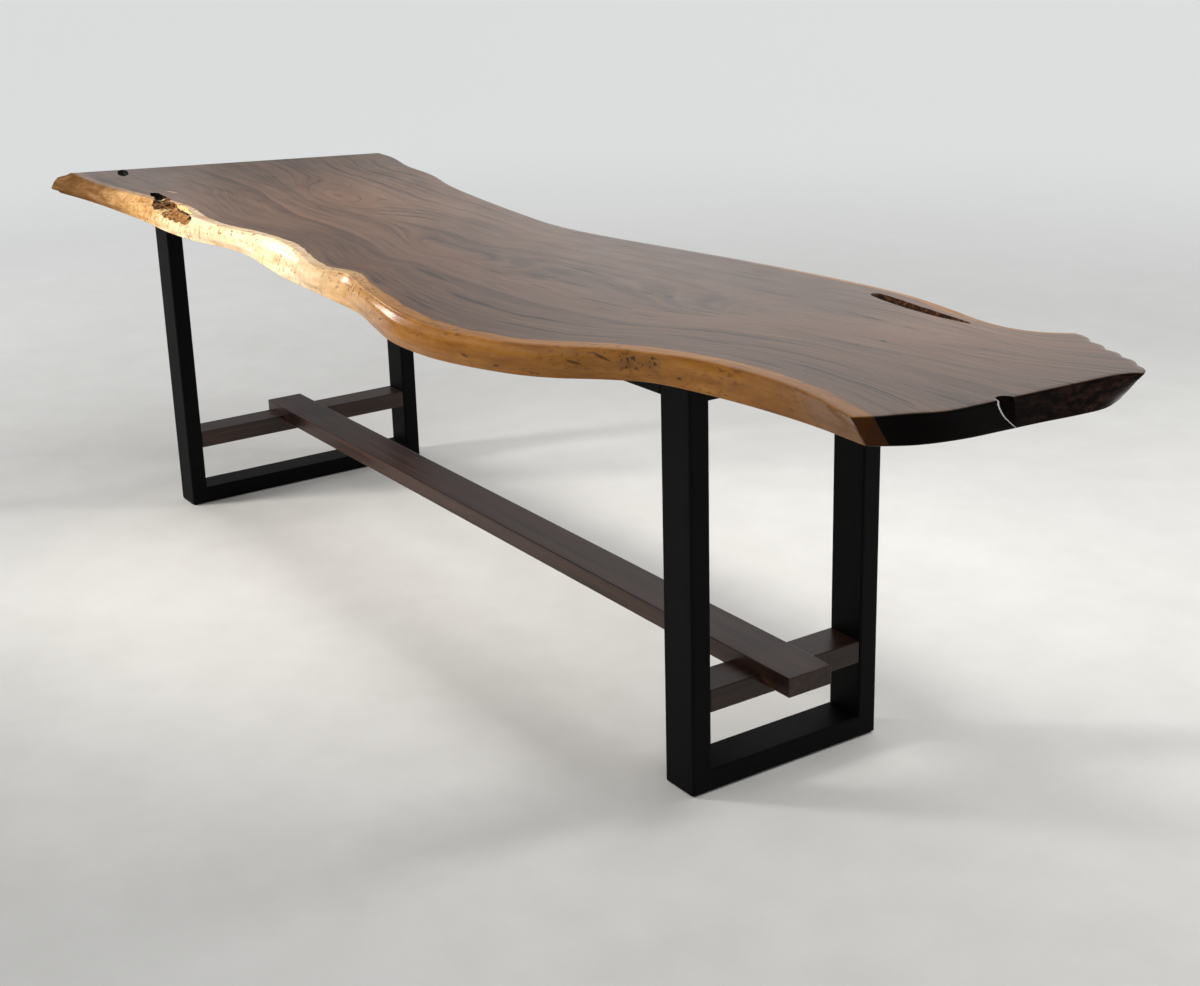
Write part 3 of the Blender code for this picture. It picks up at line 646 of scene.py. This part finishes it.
# Wood of the top: colours by tone, then those of its streaks and marks
HEART = (
    (0.16, (0.020, 0.0112, 0.0078)), (0.38, (0.074, 0.0416, 0.0276)),
    (0.56, (0.134, 0.0770, 0.0504)), (0.82, (0.178, 0.1048, 0.0682)),
)
HEART_RED = (0.170, 0.078, 0.044)
HEART_STREAK = (0.022, 0.0125, 0.0095)
HAIRLINE = (0.010, 0.006, 0.005)
FLECK_COLOUR = (0.520, 0.330, 0.200)
SPOT_COLOUR = (0.010, 0.007, 0.006)

# Wood of the live edge: colours by grain, then those of its clouds, flecks and marks
PALE = ((0.30, (0.560, 0.370, 0.185)), (0.50, (0.690, 0.510, 0.315)), (0.70, (0.760, 0.610, 0.420)))
AMBER = ((0.30, (0.345, 0.166, 0.046)), (0.50, (0.475, 0.258, 0.088)), (0.70, (0.570, 0.338, 0.136)))
HONEY = ((0.30, (0.230, 0.080, 0.010)), (0.50, (0.335, 0.132, 0.020)), (0.70, (0.420, 0.180, 0.036)))
TAN = ((0.30, (0.130, 0.058, 0.021)), (0.50, (0.215, 0.108, 0.044)), (0.70, (0.310, 0.178, 0.083)))
NEAR_BROWN = (0.150, 0.058, 0.011)
CLOUD_BROWN = (0.330, 0.145, 0.040)
FLECK_BROWN = (0.150, 0.060, 0.016)
FIGURE_BROWN = (0.200, 0.082, 0.020)
RAY_BROWN = (0.240, 0.098, 0.026)
BURL_BROWN = (0.175, 0.070, 0.018)
BURL_PITS = (0.066, 0.026, 0.006)
MARK_BROWN = (0.080, 0.031, 0.007)

# Cut ends
CUT_DARK = (0.0016, 0.0006, 0.0004)
# Brown burr of the end grain, lightened as painted sheen in place of the end's reflections
CUT_BURR_AND_SHEEN = (0.066, 0.0275, 0.0180)
# Sapwood of the near corner's facet, painted dark brown as shade
FACET_SHADED_BROWN = (0.040, 0.0105, 0.001)
# Painted highlight along the lip of the split
LIP_HIGHLIGHT_COLOUR = (0.700, 0.690, 0.680)

# Bark and the walls of the hollows, colours by tone
BARK = ((0.45, (0.005, 0.0025, 0.0015)), (0.52, (0.110, 0.042, 0.012)), (0.62, (0.330, 0.150, 0.045)))
INNER_BARK = ((0.38, (0.085, 0.031, 0.008)), (0.50, (0.270, 0.120, 0.033)), (0.62, (0.460, 0.250, 0.085)))
BARK_FAN = ((0.40, (0.340, 0.150, 0.042)), (0.50, (0.740, 0.475, 0.205)), (0.62, (0.840, 0.630, 0.340)))
# Painted shade of the crack and the pit in the bark pocket
CRACK_AND_PIT_SHADE = (0.005, 0.0025, 0.0015)
VOID_TONES = ((0.36, (0.004, 0.003, 0.002)), (0.52, (0.060, 0.024, 0.010)), (0.66, (0.330, 0.150, 0.062)))
# Near black walls of the bark hole, the near split and the far hollow: painted shade
PIT_SHADE_TONES = (
    (0.36, (0.0012, 0.0008, 0.0006)), (0.52, (0.004, 0.0024, 0.0018)), (0.66, (0.014, 0.0070, 0.0045)),
)

# Stained timber of the stretchers, coated steel and rubber, colours by tone
STAIN = ((0.38, (0.008, 0.0041, 0.0032)), (0.52, (0.024, 0.0110, 0.0077)), (0.68, (0.052, 0.0235, 0.0160)))
STEEL_BLACK = ((0.30, (0.0010, 0.0010, 0.0012)), (0.70, (0.0024, 0.0024, 0.0028)))
RUBBER_BLACK = ((0.30, (0.008, 0.008, 0.008)), (0.70, (0.018, 0.018, 0.018)))


def spot(p, over, up, at, half, slope):
    """1 at a place, falling to 0 round it; the slope leans the mark."""
    x = p.minus(over, at[0])
    y = p.minus(p.minus(up, at[1]), p.times(x, slope))
    x = p.math("POWER", p.math("DIVIDE", x, half[0]), 2.0)
    y = p.math("POWER", p.math("DIVIDE", y, half[1]), 2.0)
    return p.math("EXPONENT", p.times(p.math("ADD", x, y), -1.0))


def heartwood(p, flow, place):
    """Dark brown wood whose lines follow the slab's length and swirl round the eyes: its colour and lines."""
    u, v, w = flow
    wander = p.noise(p.stretch(flow, 0.55, 1.8, 1.8), detail=1.0)
    ripple = p.noise(p.stretch(flow, 3.4, 11.0, 11.0), detail=3.0)
    ring = p.scaled(wander, 0.26, v)
    ring = p.scaled(ripple, 0.028, ring)
    ring = p.scaled(w, 0.55, ring)
    for at, over, long, wide, strength in EYES:
        ring = p.scaled(spot(p, u, v, (at, over), (long, wide), 0.0), strength, ring)
    broad = p.bands(ring, 17.0, 3.0, 0.6)
    fine = p.bands(ring, 80.0, 3.0, 0.65)
    fibre = p.noise(p.stretch(flow, 6.0, 260.0, 260.0), detail=2.0, roughness=0.6)
    flame = p.noise(p.stretch(flow, 2.2, 34.0, 34.0), detail=4.0, roughness=0.7, distortion=0.3)
    cloud = p.noise(p.stretch(flow, 1.1, 4.5, 4.5), detail=3.0)
    tone = 0.5
    for line, share in ((broad, 0.58), (fine, 0.62), (fibre, 0.42), (flame, 0.62), (cloud, 0.56)):
        tone = p.scaled(p.minus(line, 0.5), share, tone)
    quiet = p.scaled(p.step(u, -0.4, 0.9), -0.18, 0.88)
    tone = p.scaled(p.minus(tone, 0.5), quiet, 0.5)
    colour = p.ramp(tone, *HEART)
    for at, half, tint in GLOWS:
        colour = p.mix(spot(p, u, v, at, half, 0.0), colour, tint, "MULTIPLY")
    red = p.step(p.noise(p.stretch(flow, 1.0, 6.0, 6.0), detail=3.0), 0.46, 0.68)
    colour = p.mix(p.times(red, 0.36), colour, HEART_RED)
    streak = p.step(p.bands(ring, 50.0, 3.0, 0.6), 0.57, 0.71)
    patchy = p.step(p.noise(p.stretch(flow, 1.2, 3.0, 3.0), detail=2.0), 0.38, 0.62)
    streak = p.times(streak, patchy)
    streak = p.times(streak, p.scaled(p.step(u, 0.2, 1.0), -0.46, 0.70))
    colour = p.mix(streak, colour, HEART_STREAK)

    # Hairline checks on the near half
    check = p.math("ABSOLUTE", p.minus(p.bands(ring, 70.0, 1.0, 0.5), 0.5))
    check = p.step(check, 0.075, 0.020)
    where = p.step(p.noise(p.stretch(flow, 2.4, 34.0, 34.0), detail=2.0), 0.56, 0.64)
    check = p.times(p.times(check, where), p.step(u, -0.3, 0.4))
    colour = p.mix(p.times(check, 0.75), colour, HAIRLINE)

    # A pale fleck and a dark spot
    along, across, long, wide, slope = PALE_FLECK
    pale = spot(p, place[0], place[1], (along + BASE[0], across + BASE[1]), (long, wide), slope)
    colour = p.mix(p.step(pale, 0.30, 0.60), colour, FLECK_COLOUR)
    along, across, long, wide, slope = DARK_SPOT
    dark = spot(p, place[0], place[1], (along + BASE[0], across + BASE[1]), (long, wide), slope)
    colour = p.mix(p.step(dark, 0.30, 0.60), colour, SPOT_COLOUR)
    return colour, p.scaled(fibre, 0.5, p.times(fine, 0.5))


def sapwood(p, flow, place, face):
    """Pale wood of the live edge: tan at the far corner, then cream, amber and honey."""
    u = flow[0]
    grain = p.noise(p.stretch(flow, 9.0, 60.0, 60.0), detail=4.0, roughness=0.62)
    amber = p.ramp(grain, *AMBER)
    colour = p.mix(p.step(u, -0.15, 0.40), p.ramp(grain, *PALE), amber)
    colour = p.mix(p.step(u, 0.15, 0.80), colour, p.ramp(grain, *HONEY))
    colour = p.mix(p.times(p.step(u, 1.50, 1.95), 0.45), colour, NEAR_BROWN)
    colour = p.mix(p.times(p.step(u, -0.95, -1.25), 0.85), colour, amber)
    far = p.step(p.scaled(grain, 0.5, u), -1.02, -1.46)
    colour = p.mix(far, colour, p.ramp(grain, *TAN))
    cloud = p.step(p.noise(p.stretch(flow, 4.0, 14.0, 30.0), detail=4.0, roughness=0.65), 0.50, 0.74)
    colour = p.mix(p.times(cloud, 0.45), colour, CLOUD_BROWN)
    fleck = p.noise(p.stretch(flow, 55.0, 55.0, 120.0), detail=3.0, roughness=0.6, distortion=0.5)
    patchy = p.step(p.noise(p.stretch(flow, 6.0, 6.0, 20.0), detail=2.0), 0.43, 0.58)
    fleck = p.times(p.step(fleck, 0.55, 0.65), patchy)
    colour = p.mix(p.times(fleck, 0.75), colour, FLECK_BROWN)
    figure = p.step(p.noise(p.stretch(flow, 42.0, 5.0, 7.0), detail=3.0, roughness=0.6), 0.42, 0.66)
    colour = p.mix(p.times(figure, 0.22), colour, FIGURE_BROWN)

    # Streaks that fan out below the bark pocket
    fan = spot(p, place[0], place[2], (-1.10 + BASE[0], TOP_Z - 0.030), (0.36, 0.048), -0.02)
    rays = p.noise(p.stretch(place, 75.0, 20.0, 26.0), detail=3.0, roughness=0.65, distortion=0.6)
    rays = p.times(p.step(rays, 0.50, 0.64), p.step(fan, 0.12, 0.60))
    colour = p.mix(p.times(rays, 0.75), colour, RAY_BROWN)

    # Burls and insect marks on the face of the live edge
    pits = p.step(p.noise(p.stretch(place, 105.0, 105.0, 105.0), detail=2.0, roughness=0.5), 0.54, 0.62)
    for at, below, half, high, _ in BURLS:
        burl = spot(p, place[0], place[2], (at + BASE[0], TOP_Z - below), (half, high), 0.0)
        burl = p.times(face, burl)
        colour = p.mix(p.times(burl, 0.50), colour, BURL_BROWN)
        colour = p.mix(p.times(pits, p.step(burl, 0.10, 0.45)), colour, BURL_PITS)
    for at, below, half, high, slope in MARKS:
        mark = spot(p, place[0], place[2], (at + BASE[0], TOP_Z - below), (half, high), slope)
        mark = p.step(p.times(face, mark), 0.15, 0.60)
        colour = p.mix(p.times(mark, 0.85), colour, MARK_BROWN)
    return colour


def sapwood_mask(p, flow, gaps):
    """1 where the wood is pale: along the front edge, and along the near part of the back edge."""
    u = flow[0]
    jagged = p.noise(p.stretch(flow, 5.0, 5.0, 5.0), detail=5.0, roughness=0.62)
    front_width = p.scaled(jagged, 0.034, p.scaled(p.step(u, -0.5, 1.4), 0.012, 0.008))
    beside_pocket = spot(p, u, gaps[0], (-1.06, 0.0), (0.20, 1.0), 0.0)
    front_width = p.scaled(beside_pocket, 0.026, front_width)
    front = p.step(p.minus(gaps[0], front_width), 0.003, -0.003)
    beside_void = spot(p, u, gaps[1], (1.57, 0.0), (0.09, 1.0), 0.0)
    back_width = p.scaled(beside_void, 0.009, p.scaled(jagged, 0.014, 0.008))
    back = p.step(p.minus(gaps[1], back_width), 0.003, -0.003)
    back = p.times(back, p.step(u, 0.75, 1.05))
    return p.math("MAXIMUM", front, back)


def cut_ends(p, colour, flow, gaps, place):
    """Cut ends soak up the finish and turn dark, past a facet of sapwood at the near corner that is painted
    dark brown as shade.
    """
    u = flow[0]
    below = p.minus(TOP_Z, place[2])
    facet = p.minus(place[1], p.scaled(below, FACET_LEAN, FACET_TOP + BASE[1]))
    past = p.math("MAXIMUM", p.step(facet, -0.001, 0.001), p.step(u, 0.0, -0.1))
    end = p.times(gaps[2], past)
    # The facet at the near corner: its sapwood painted dark brown, painted shade
    corner = p.times(gaps[2], p.minus(1.0, past))
    colour = p.mix(p.times(corner, 0.92), colour, FACET_SHADED_BROWN)
    # Brown burr towards the tip: the end grain's own burr, lightened as painted sheen
    burr = p.step(p.noise(p.stretch(flow, 14.0, 30.0, 60.0), detail=5.0, roughness=0.75), 0.40, 0.76)
    cut = p.mix(p.times(burr, p.step(place[1], -0.10, 0.25)), CUT_DARK, CUT_BURR_AND_SHEEN)
    colour = p.mix(end, colour, cut)

    # A painted highlight along the lip of the split, in pale grey
    depth = p.math("DIVIDE", below, THICKNESS, clamp=True)
    path = p.scaled(p.math("POWER", depth, LIP_CURVE), LIP_DRIFT, LIP_TOP + BASE[1])
    uneven = p.noise(p.stretch(place, 150.0, 150.0, 150.0), detail=2.0)
    lip_highlight = p.scaled(p.minus(uneven, 0.5), 0.0040, p.minus(place[1], path))
    lip_highlight = p.scaled(depth, 0.0012, p.math("ABSOLUTE", lip_highlight))
    lip_highlight = p.step(lip_highlight, LIP_HIGHLIGHT_WIDTH, LIP_HIGHLIGHT_WIDTH - 0.001)
    lip_highlight = p.times(p.times(lip_highlight, end), p.step(u, 1.8, 1.9))
    return p.mix(lip_highlight, colour, LIP_HIGHLIGHT_COLOUR)


def slab_paint():
    """The lacquered slab; its far part and its cut ends shine less."""
    p = Paint("slab_lacquered", IOR=1.5)
    flow = p.carried("flow")
    gaps = p.carried("gaps")
    place = p.parts(p.place())
    u = flow[0]
    heart, lines = heartwood(p, flow, place)
    face = p.step(gaps[0], 0.004, 0.001)
    colour = p.mix(sapwood_mask(p, flow, gaps), heart, sapwood(p, flow, place, face))
    p.shade("Base Color", cut_ends(p, colour, flow, gaps, place))
    sheen = p.noise(p.stretch(flow, 6.0, 14.0, 14.0), detail=3.0)
    blunt = p.times(p.step(u, -0.95, -1.35), face)
    p.shade("Roughness", p.scaled(blunt, 0.34, p.scaled(sheen, 0.14, 0.16)))
    away = p.scaled(p.step(u, -0.05, -0.40), 0.60, p.times(p.step(u, -1.00, -1.35), 0.40))
    dull = p.math("MAXIMUM", p.times(gaps[2], 0.90), p.times(away, face))
    p.shade("Specular IOR Level", p.scaled(dull, -0.30, 0.30))
    p.relief(lines, 0.05, 0.0006)
    return p.material


def wall_paint(name, tones, scale, shine):
    """Torn wood in a hollow; in the pit tones it is near black, painted shade."""
    p = Paint(name, Specular_IOR_Level=shine)
    parts = p.parts(p.place())
    lumps = p.noise(p.stretch(parts, scale, scale, scale * 1.6), detail=5.0, roughness=0.7, distortion=0.4)
    rays = p.noise(p.stretch(parts, scale * 3, scale * 1.2, scale * 2.5), detail=3.0, roughness=0.6)
    tone = p.scaled(lumps, 0.65, p.times(rays, 0.35))
    p.shade("Base Color", p.ramp(tone, *tones))
    p.shade("Roughness", p.scaled(lumps, 0.35, 0.35))
    p.relief(tone, 0.6, 0.003)
    return p.material


def pocket_paint():
    """The bark pocket: a strip of dark bark, then a brown patch with a crack and a pit painted black as their
    shade, in pale wood.
    """
    p = Paint("slab_bark", Specular_IOR_Level=0.06)
    parts = p.parts(p.place())
    lumps = p.noise(p.stretch(parts, 62.0, 62.0, 99.0), detail=5.0, roughness=0.7, distortion=0.4)
    rays = p.noise(p.stretch(parts, 190.0, 60.0, 60.0), detail=3.0, roughness=0.6)
    tone = p.scaled(lumps, 0.60, p.times(rays, 0.40))
    depth = p.minus(TOP_Z, parts[2])
    ragged = p.scaled(p.minus(tone, 0.5), 0.030, depth)
    drop = p.step(parts[0], *PATCH)
    upper = p.scaled(drop, 0.0205, -0.004)
    lower = p.scaled(drop, 0.013, p.scaled(p.step(parts[0], *STRIP), 0.012, 0.009))
    strip = p.times(
        p.step(p.minus(ragged, upper), -0.0015, 0.0015), p.step(p.minus(ragged, lower), 0.003, -0.002)
    )
    bark = p.mix(drop, p.ramp(tone, *BARK), p.ramp(tone, *INNER_BARK))
    colour = p.mix(strip, p.ramp(rays, *BARK_FAN), bark)
    # The crack and the pit are painted near black: painted shade
    crack = p.scaled(p.minus(lumps, 0.5), 0.010, p.minus(depth, upper))
    crack = p.step(p.math("ABSOLUTE", p.minus(crack, 0.001)), 0.0034, 0.0014)
    crack = p.times(crack, drop)
    pit = p.step(spot(p, parts[0], parts[2], (PIT[0] + BASE[0], TOP_Z - PIT[1]), PIT[2:], 0.0), 0.25, 0.55)
    p.shade("Base Color", p.mix(p.math("MAXIMUM", crack, pit), colour, CRACK_AND_PIT_SHADE))
    p.shade("Roughness", p.scaled(lumps, 0.35, 0.35))
    p.relief(tone, 0.6, 0.003)
    return p.material


def cut_hollows(raw):
    """The raw slab's mesh with its hollows cut."""
    cutters = [
        to_object("cut_void", void_shell()),
        to_object("cut_pocket", egg(*POCKET, BARK_WALL, amount=0.0072, scale=32)),
        to_object("cut_neck", egg(*BARK_NECK, BARK_WALL, amount=0.0040, scale=40)),
        to_object("cut_hole", egg(*BARK_HOLE, PIT_SHADE_WALL, amount=0.0032, scale=30)),
        to_object("cut_near", split_shell(*NEAR_SPLIT)),
        to_object("cut_far", egg(*FAR_HOLLOW, PIT_SHADE_WALL, amount=0.0012, scale=40)),
        to_object("cut_inserts", insert_holes()),
    ]
    paints = [
        slab_paint(),
        pocket_paint(),
        wall_paint("slab_void", VOID_TONES, 46.0, 0.25),
        # The pit walls are near black: painted shade
        wall_paint("slab_pit_shade", PIT_SHADE_TONES, 60.0, 0.03),
    ]
    for thing in (raw, *cutters):
        for paint in paints:
            thing.data.materials.append(paint)
    for cutter in cutters:
        step = raw.modifiers.new(cutter.name, "BOOLEAN")
        step.operation = "DIFFERENCE"
        step.solver = "EXACT"
        step.object = cutter
    graph = bpy.context.evaluated_depsgraph_get()
    cut = bpy.data.meshes.new_from_object(raw.evaluated_get(graph))
    for thing in (raw, *cutters):
        bpy.data.objects.remove(thing, do_unlink=True)
    return cut


def carry(cut, points, carried):
    """Hands what the raw points carry to the nearest points of the cut mesh."""
    tree = KDTree(len(points))
    for i, point in enumerate(points):
        tree.insert(point, i)
    tree.balance()
    flow = np.zeros((len(cut.vertices), 3), np.float32)
    gaps = np.zeros((len(cut.vertices), 3), np.float32)
    for i, vert in enumerate(cut.vertices):
        found = tree.find_n(vert.co, 3)
        share = np.array([1 / (far + 1e-7) for _, _, far in found])
        row = share @ carried[[index for _, index, _ in found]] / share.sum()
        flow[i] = row[:3]
        gaps[i] = row[3:]
    for name, values in (("flow", flow), ("gaps", gaps)):
        cut.attributes.new(name, "FLOAT_VECTOR", "POINT").data.foreach_set("vector", values.ravel())


def slab():
    """The slab with its hollows cut, and the grain space carried on its points."""
    points, faces, carried = slab_mesh()
    mesh = bpy.data.meshes.new("slab_raw")
    mesh.from_pydata(points, [], faces)
    raw = bpy.data.objects.new("slab_raw", mesh)
    bpy.context.scene.collection.objects.link(raw)
    cut = cut_hollows(raw)
    cut.name = "slab_live_edge"
    carry(cut, points, carried)
    cut.polygons.foreach_set("use_smooth", np.ones(len(cut.polygons), bool))
    cut.set_sharp_from_angle(angle=math.radians(SHARP_ANGLE))
    piece = bpy.data.objects.new("slab_live_edge", cut)
    bpy.context.scene.collection.objects.link(piece)
    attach(piece, "root")
    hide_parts("slab_top")


def black_paint():
    """Black powder coat with a faint peel."""
    p = Paint("steel_black", Specular_IOR_Level=0.08)
    place = p.place()
    cloud = p.noise(place, 5.0, 4.0, 0.6)
    peel = p.noise(place, 420.0, 2.0, 0.5)
    p.shade("Base Color", p.ramp(cloud, *STEEL_BLACK))
    p.shade("Roughness", p.scaled(cloud, 0.20, 0.48))
    p.relief(peel, 0.05, 0.0004)
    return p.material


def stain_paint(name, along):
    """Dark stained timber with its grain along one axis."""
    p = Paint(name, Specular_IOR_Level=0.30)
    parts = p.parts(p.place())
    draw = [60.0, 60.0, 60.0]
    draw[along] = 1.6
    wide = [9.0, 9.0, 9.0]
    wide[along] = 0.6
    fibre = p.noise(p.stretch(parts, *[d * 4 for d in draw]), detail=3.0, roughness=0.6)
    lines = p.noise(p.stretch(parts, *draw), detail=4.0, roughness=0.62, distortion=0.6)
    broad = p.noise(p.stretch(parts, *wide), detail=2.0)
    tone = p.scaled(lines, 0.55, p.times(fibre, 0.25))
    tone = p.scaled(broad, 0.25, tone)
    p.shade("Base Color", p.ramp(tone, *STAIN))
    p.shade("Roughness", p.scaled(lines, 0.18, 0.24))
    p.relief(p.scaled(fibre, 0.6, lines), 0.12, 0.0008)
    return p.material


def metal_paint(name, dark, pale, roughness):
    """Bare metal of the hardware."""
    p = Paint(name, Metallic=1.0)
    place = p.place()
    cloud = p.noise(place, 160.0, 4.0, 0.6)
    p.shade("Base Color", p.ramp(cloud, (0.30, dark), (0.70, pale)))
    p.shade("Roughness", p.scaled(cloud, 0.25, roughness))
    p.relief(p.noise(place, 900.0, 2.0, 0.5), 0.06, 0.0002)
    return p.material


def rubber_paint():
    """Dull rubber of the glides."""
    p = Paint("rubber_black")
    place = p.place()
    cloud = p.noise(place, 300.0, 3.0, 0.6)
    p.shade("Base Color", p.ramp(cloud, *RUBBER_BLACK))
    p.shade("Roughness", p.scaled(cloud, 0.20, 0.68))
    p.relief(cloud, 0.2, 0.0004)
    return p.material


def dress_nodes():
    """Finishes for the solids that stay in view."""
    paints = {
        "black_steel": black_paint(),
        "zinc_steel": metal_paint("steel_zinc", (0.46, 0.47, 0.46), (0.64, 0.64, 0.61), 0.22),
        "brass": metal_paint("brass_turned", (0.50, 0.34, 0.12), (0.70, 0.50, 0.20), 0.20),
        "rubber": rubber_paint(),
    }
    lengthwise = stain_paint("timber_along", 0)
    crosswise = stain_paint("timber_across", 1)
    for row in frame["record"]["subparts"]:
        node = frame["nodes"][row["node"]]
        if row["material_slot"] == "slab_wood":
            continue
        if row["material_slot"] == "stretcher_wood":
            paint = lengthwise if row["node"] == "long_stretcher" else crosswise
        else:
            paint = paints[row["material_slot"]]
        node.data.materials.clear()
        node.data.materials.append(paint)


# Camera of the photograph, in metres, radians and millimetres
CAMERA_PLACE = (4.0441, -2.2840, 1.9241)
CAMERA_TURN = (1.262424, 0.035321, 1.003248)
CAMERA_LENS = 52.522
CAMERA_SENSOR = 36
CAMERA_SHIFT = (0.0478, -0.0459)

# Floor: half its size, colours close by, colour far away, and between which distances it changes
FLOOR_HALF = 400
FLOOR_CLOSE = ((0.30, (0.600, 0.590, 0.570)), (0.70, (0.690, 0.682, 0.665)))
FLOOR_FAR = (0.910, 0.915, 0.912)
FLOOR_CHANGE = (1.5, 9.0)

# The room's brightness by direction: way, cosines between which it changes, brightness before and after
ROOM_BEHIND = ((-0.342, 0.940, 0.0), 0.69, 0.82, 0.20, 0.95)
ROOM_LEVEL = ((0, 0, 1), 0.20, 0.28, 1.0, 0.52)
ROOM_OVERHEAD = ((0, 0, 1), 0.25, 0.80, 0.0, 0.94)
ROOM_LEFT = ((-0.951, 0.309, 0.0), 0.955, 0.975, 0.0, 1.0)
ROOM_PANEL = ((-0.360, -0.933, 0.0), -0.003, 0.003, 0.075, 0.260)
ROOM_COLOUR = (0.985, 0.995, 1.0, 1)

# Lamps; those that aren't shiny don't show in reflections
LAMPS = [
    dict(name="soft_left", place=(-2.4, -3.6, 2.25), target=(-0.45, -0.42, 0.86), size=(0.9, 0.9),
         power=22, colour=(1.0, 0.96, 0.89), spread=44, shiny=False),
    dict(name="window_left", place=(-5.1, -1.0, 2.72), target=(0.3, -0.5, 1.0), size=(0.9, 0.6),
         power=22, colour=(1.0, 0.98, 0.95), spread=180, shiny=True),
    dict(name="soft_behind", place=(1.9, 4.2, 3.1), target=(0.9, 0.2, 0.3), size=(1.1, 1.1),
         power=32, colour=(1.0, 0.99, 0.97), spread=100, shiny=False),
]


def camera():
    """The camera at the photograph's viewing angle."""
    lens = bpy.data.cameras.new("camera")
    lens.sensor_width = CAMERA_SENSOR
    lens.lens = CAMERA_LENS
    lens.shift_x, lens.shift_y = CAMERA_SHIFT
    made = bpy.data.objects.new("camera", lens)
    made.location = CAMERA_PLACE
    made.rotation_euler = CAMERA_TURN
    bpy.context.scene.collection.objects.link(made)
    bpy.context.scene.camera = made


def floor():
    """A pale floor that grows lighter towards the distance."""
    p = Paint("floor_pale", Specular_IOR_Level=0.2)
    place = p.place()
    away = p.node("ShaderNodeVectorMath", operation="LENGTH")
    p.put(away.inputs[0], place)
    away = away.outputs["Value"]
    cloud = p.noise(place, 0.9, 4.0, 0.55)
    brush = p.noise(place, 6.0, 5.0, 0.6)
    tone = p.scaled(cloud, 0.55, p.times(brush, 0.45))
    p.shade("Base Color", p.mix(p.step(away, *FLOOR_CHANGE), p.ramp(tone, *FLOOR_CLOSE), FLOOR_FAR))
    p.shade("Roughness", p.scaled(brush, 0.2, 0.6))
    shaping = bmesh.new()
    bmesh.ops.create_grid(shaping, x_segments=4, y_segments=4, size=FLOOR_HALF)
    made = to_object("floor", shaping)
    made.data.materials.append(p.material)


def lamp(name, place, target, size, power, colour, spread, shiny):
    """A rectangular lamp that faces its target."""
    light = bpy.data.lights.new(name, "AREA")
    light.shape = "RECTANGLE"
    light.size, light.size_y = size
    light.energy = power
    light.color = colour
    light.spread = math.radians(spread)
    made = bpy.data.objects.new(name, light)
    made.location = place
    made.rotation_euler = (Vector(target) - Vector(place)).to_track_quat("-Z", "Y").to_euler()
    made.visible_camera = False
    made.visible_glossy = shiny
    bpy.context.scene.collection.objects.link(made)


def studio():
    """A pale room: bright overhead, brighter behind the table than in front of it, with a panel on the left
    and three lamps."""
    world = bpy.data.worlds.new("studio")
    bpy.context.scene.world = world
    world.use_nodes = True
    tree = world.node_tree
    back = tree.nodes["Background"]
    where = tree.nodes.new("ShaderNodeTexCoord").outputs["Generated"]

    def rise(way, low, high, dim, bright):
        """Brightness that changes with the direction's cosine to a way."""
        towards = tree.nodes.new("ShaderNodeVectorMath")
        towards.operation = "DOT_PRODUCT"
        towards.inputs[1].default_value = way
        tree.links.new(where, towards.inputs[0])
        made = tree.nodes.new("ShaderNodeMapRange")
        made.interpolation_type = "SMOOTHSTEP"
        for key, value in (("From Min", low), ("From Max", high), ("To Min", dim), ("To Max", bright)):
            made.inputs[key].default_value = value
        tree.links.new(towards.outputs["Value"], made.inputs["Value"])
        return made.outputs[0]

    def join(operation, *terms):
        """Brightnesses added or multiplied."""
        made = tree.nodes.new("ShaderNodeMath")
        made.operation = operation
        for socket, term in zip(made.inputs, terms):
            tree.links.new(term, socket)
        return made.outputs[0]

    sky = join("MULTIPLY_ADD", rise(*ROOM_BEHIND), rise(*ROOM_LEVEL), rise(*ROOM_OVERHEAD))
    panel = join("MULTIPLY", rise(*ROOM_LEFT), rise(*ROOM_PANEL))
    tree.links.new(join("ADD", sky, panel), back.inputs["Strength"])
    back.inputs["Color"].default_value = ROOM_COLOUR
    for row in LAMPS:
        lamp(**row)
    bpy.context.scene.view_settings.view_transform = "Standard"


slab()
dress_nodes()
camera()
floor()
studio()
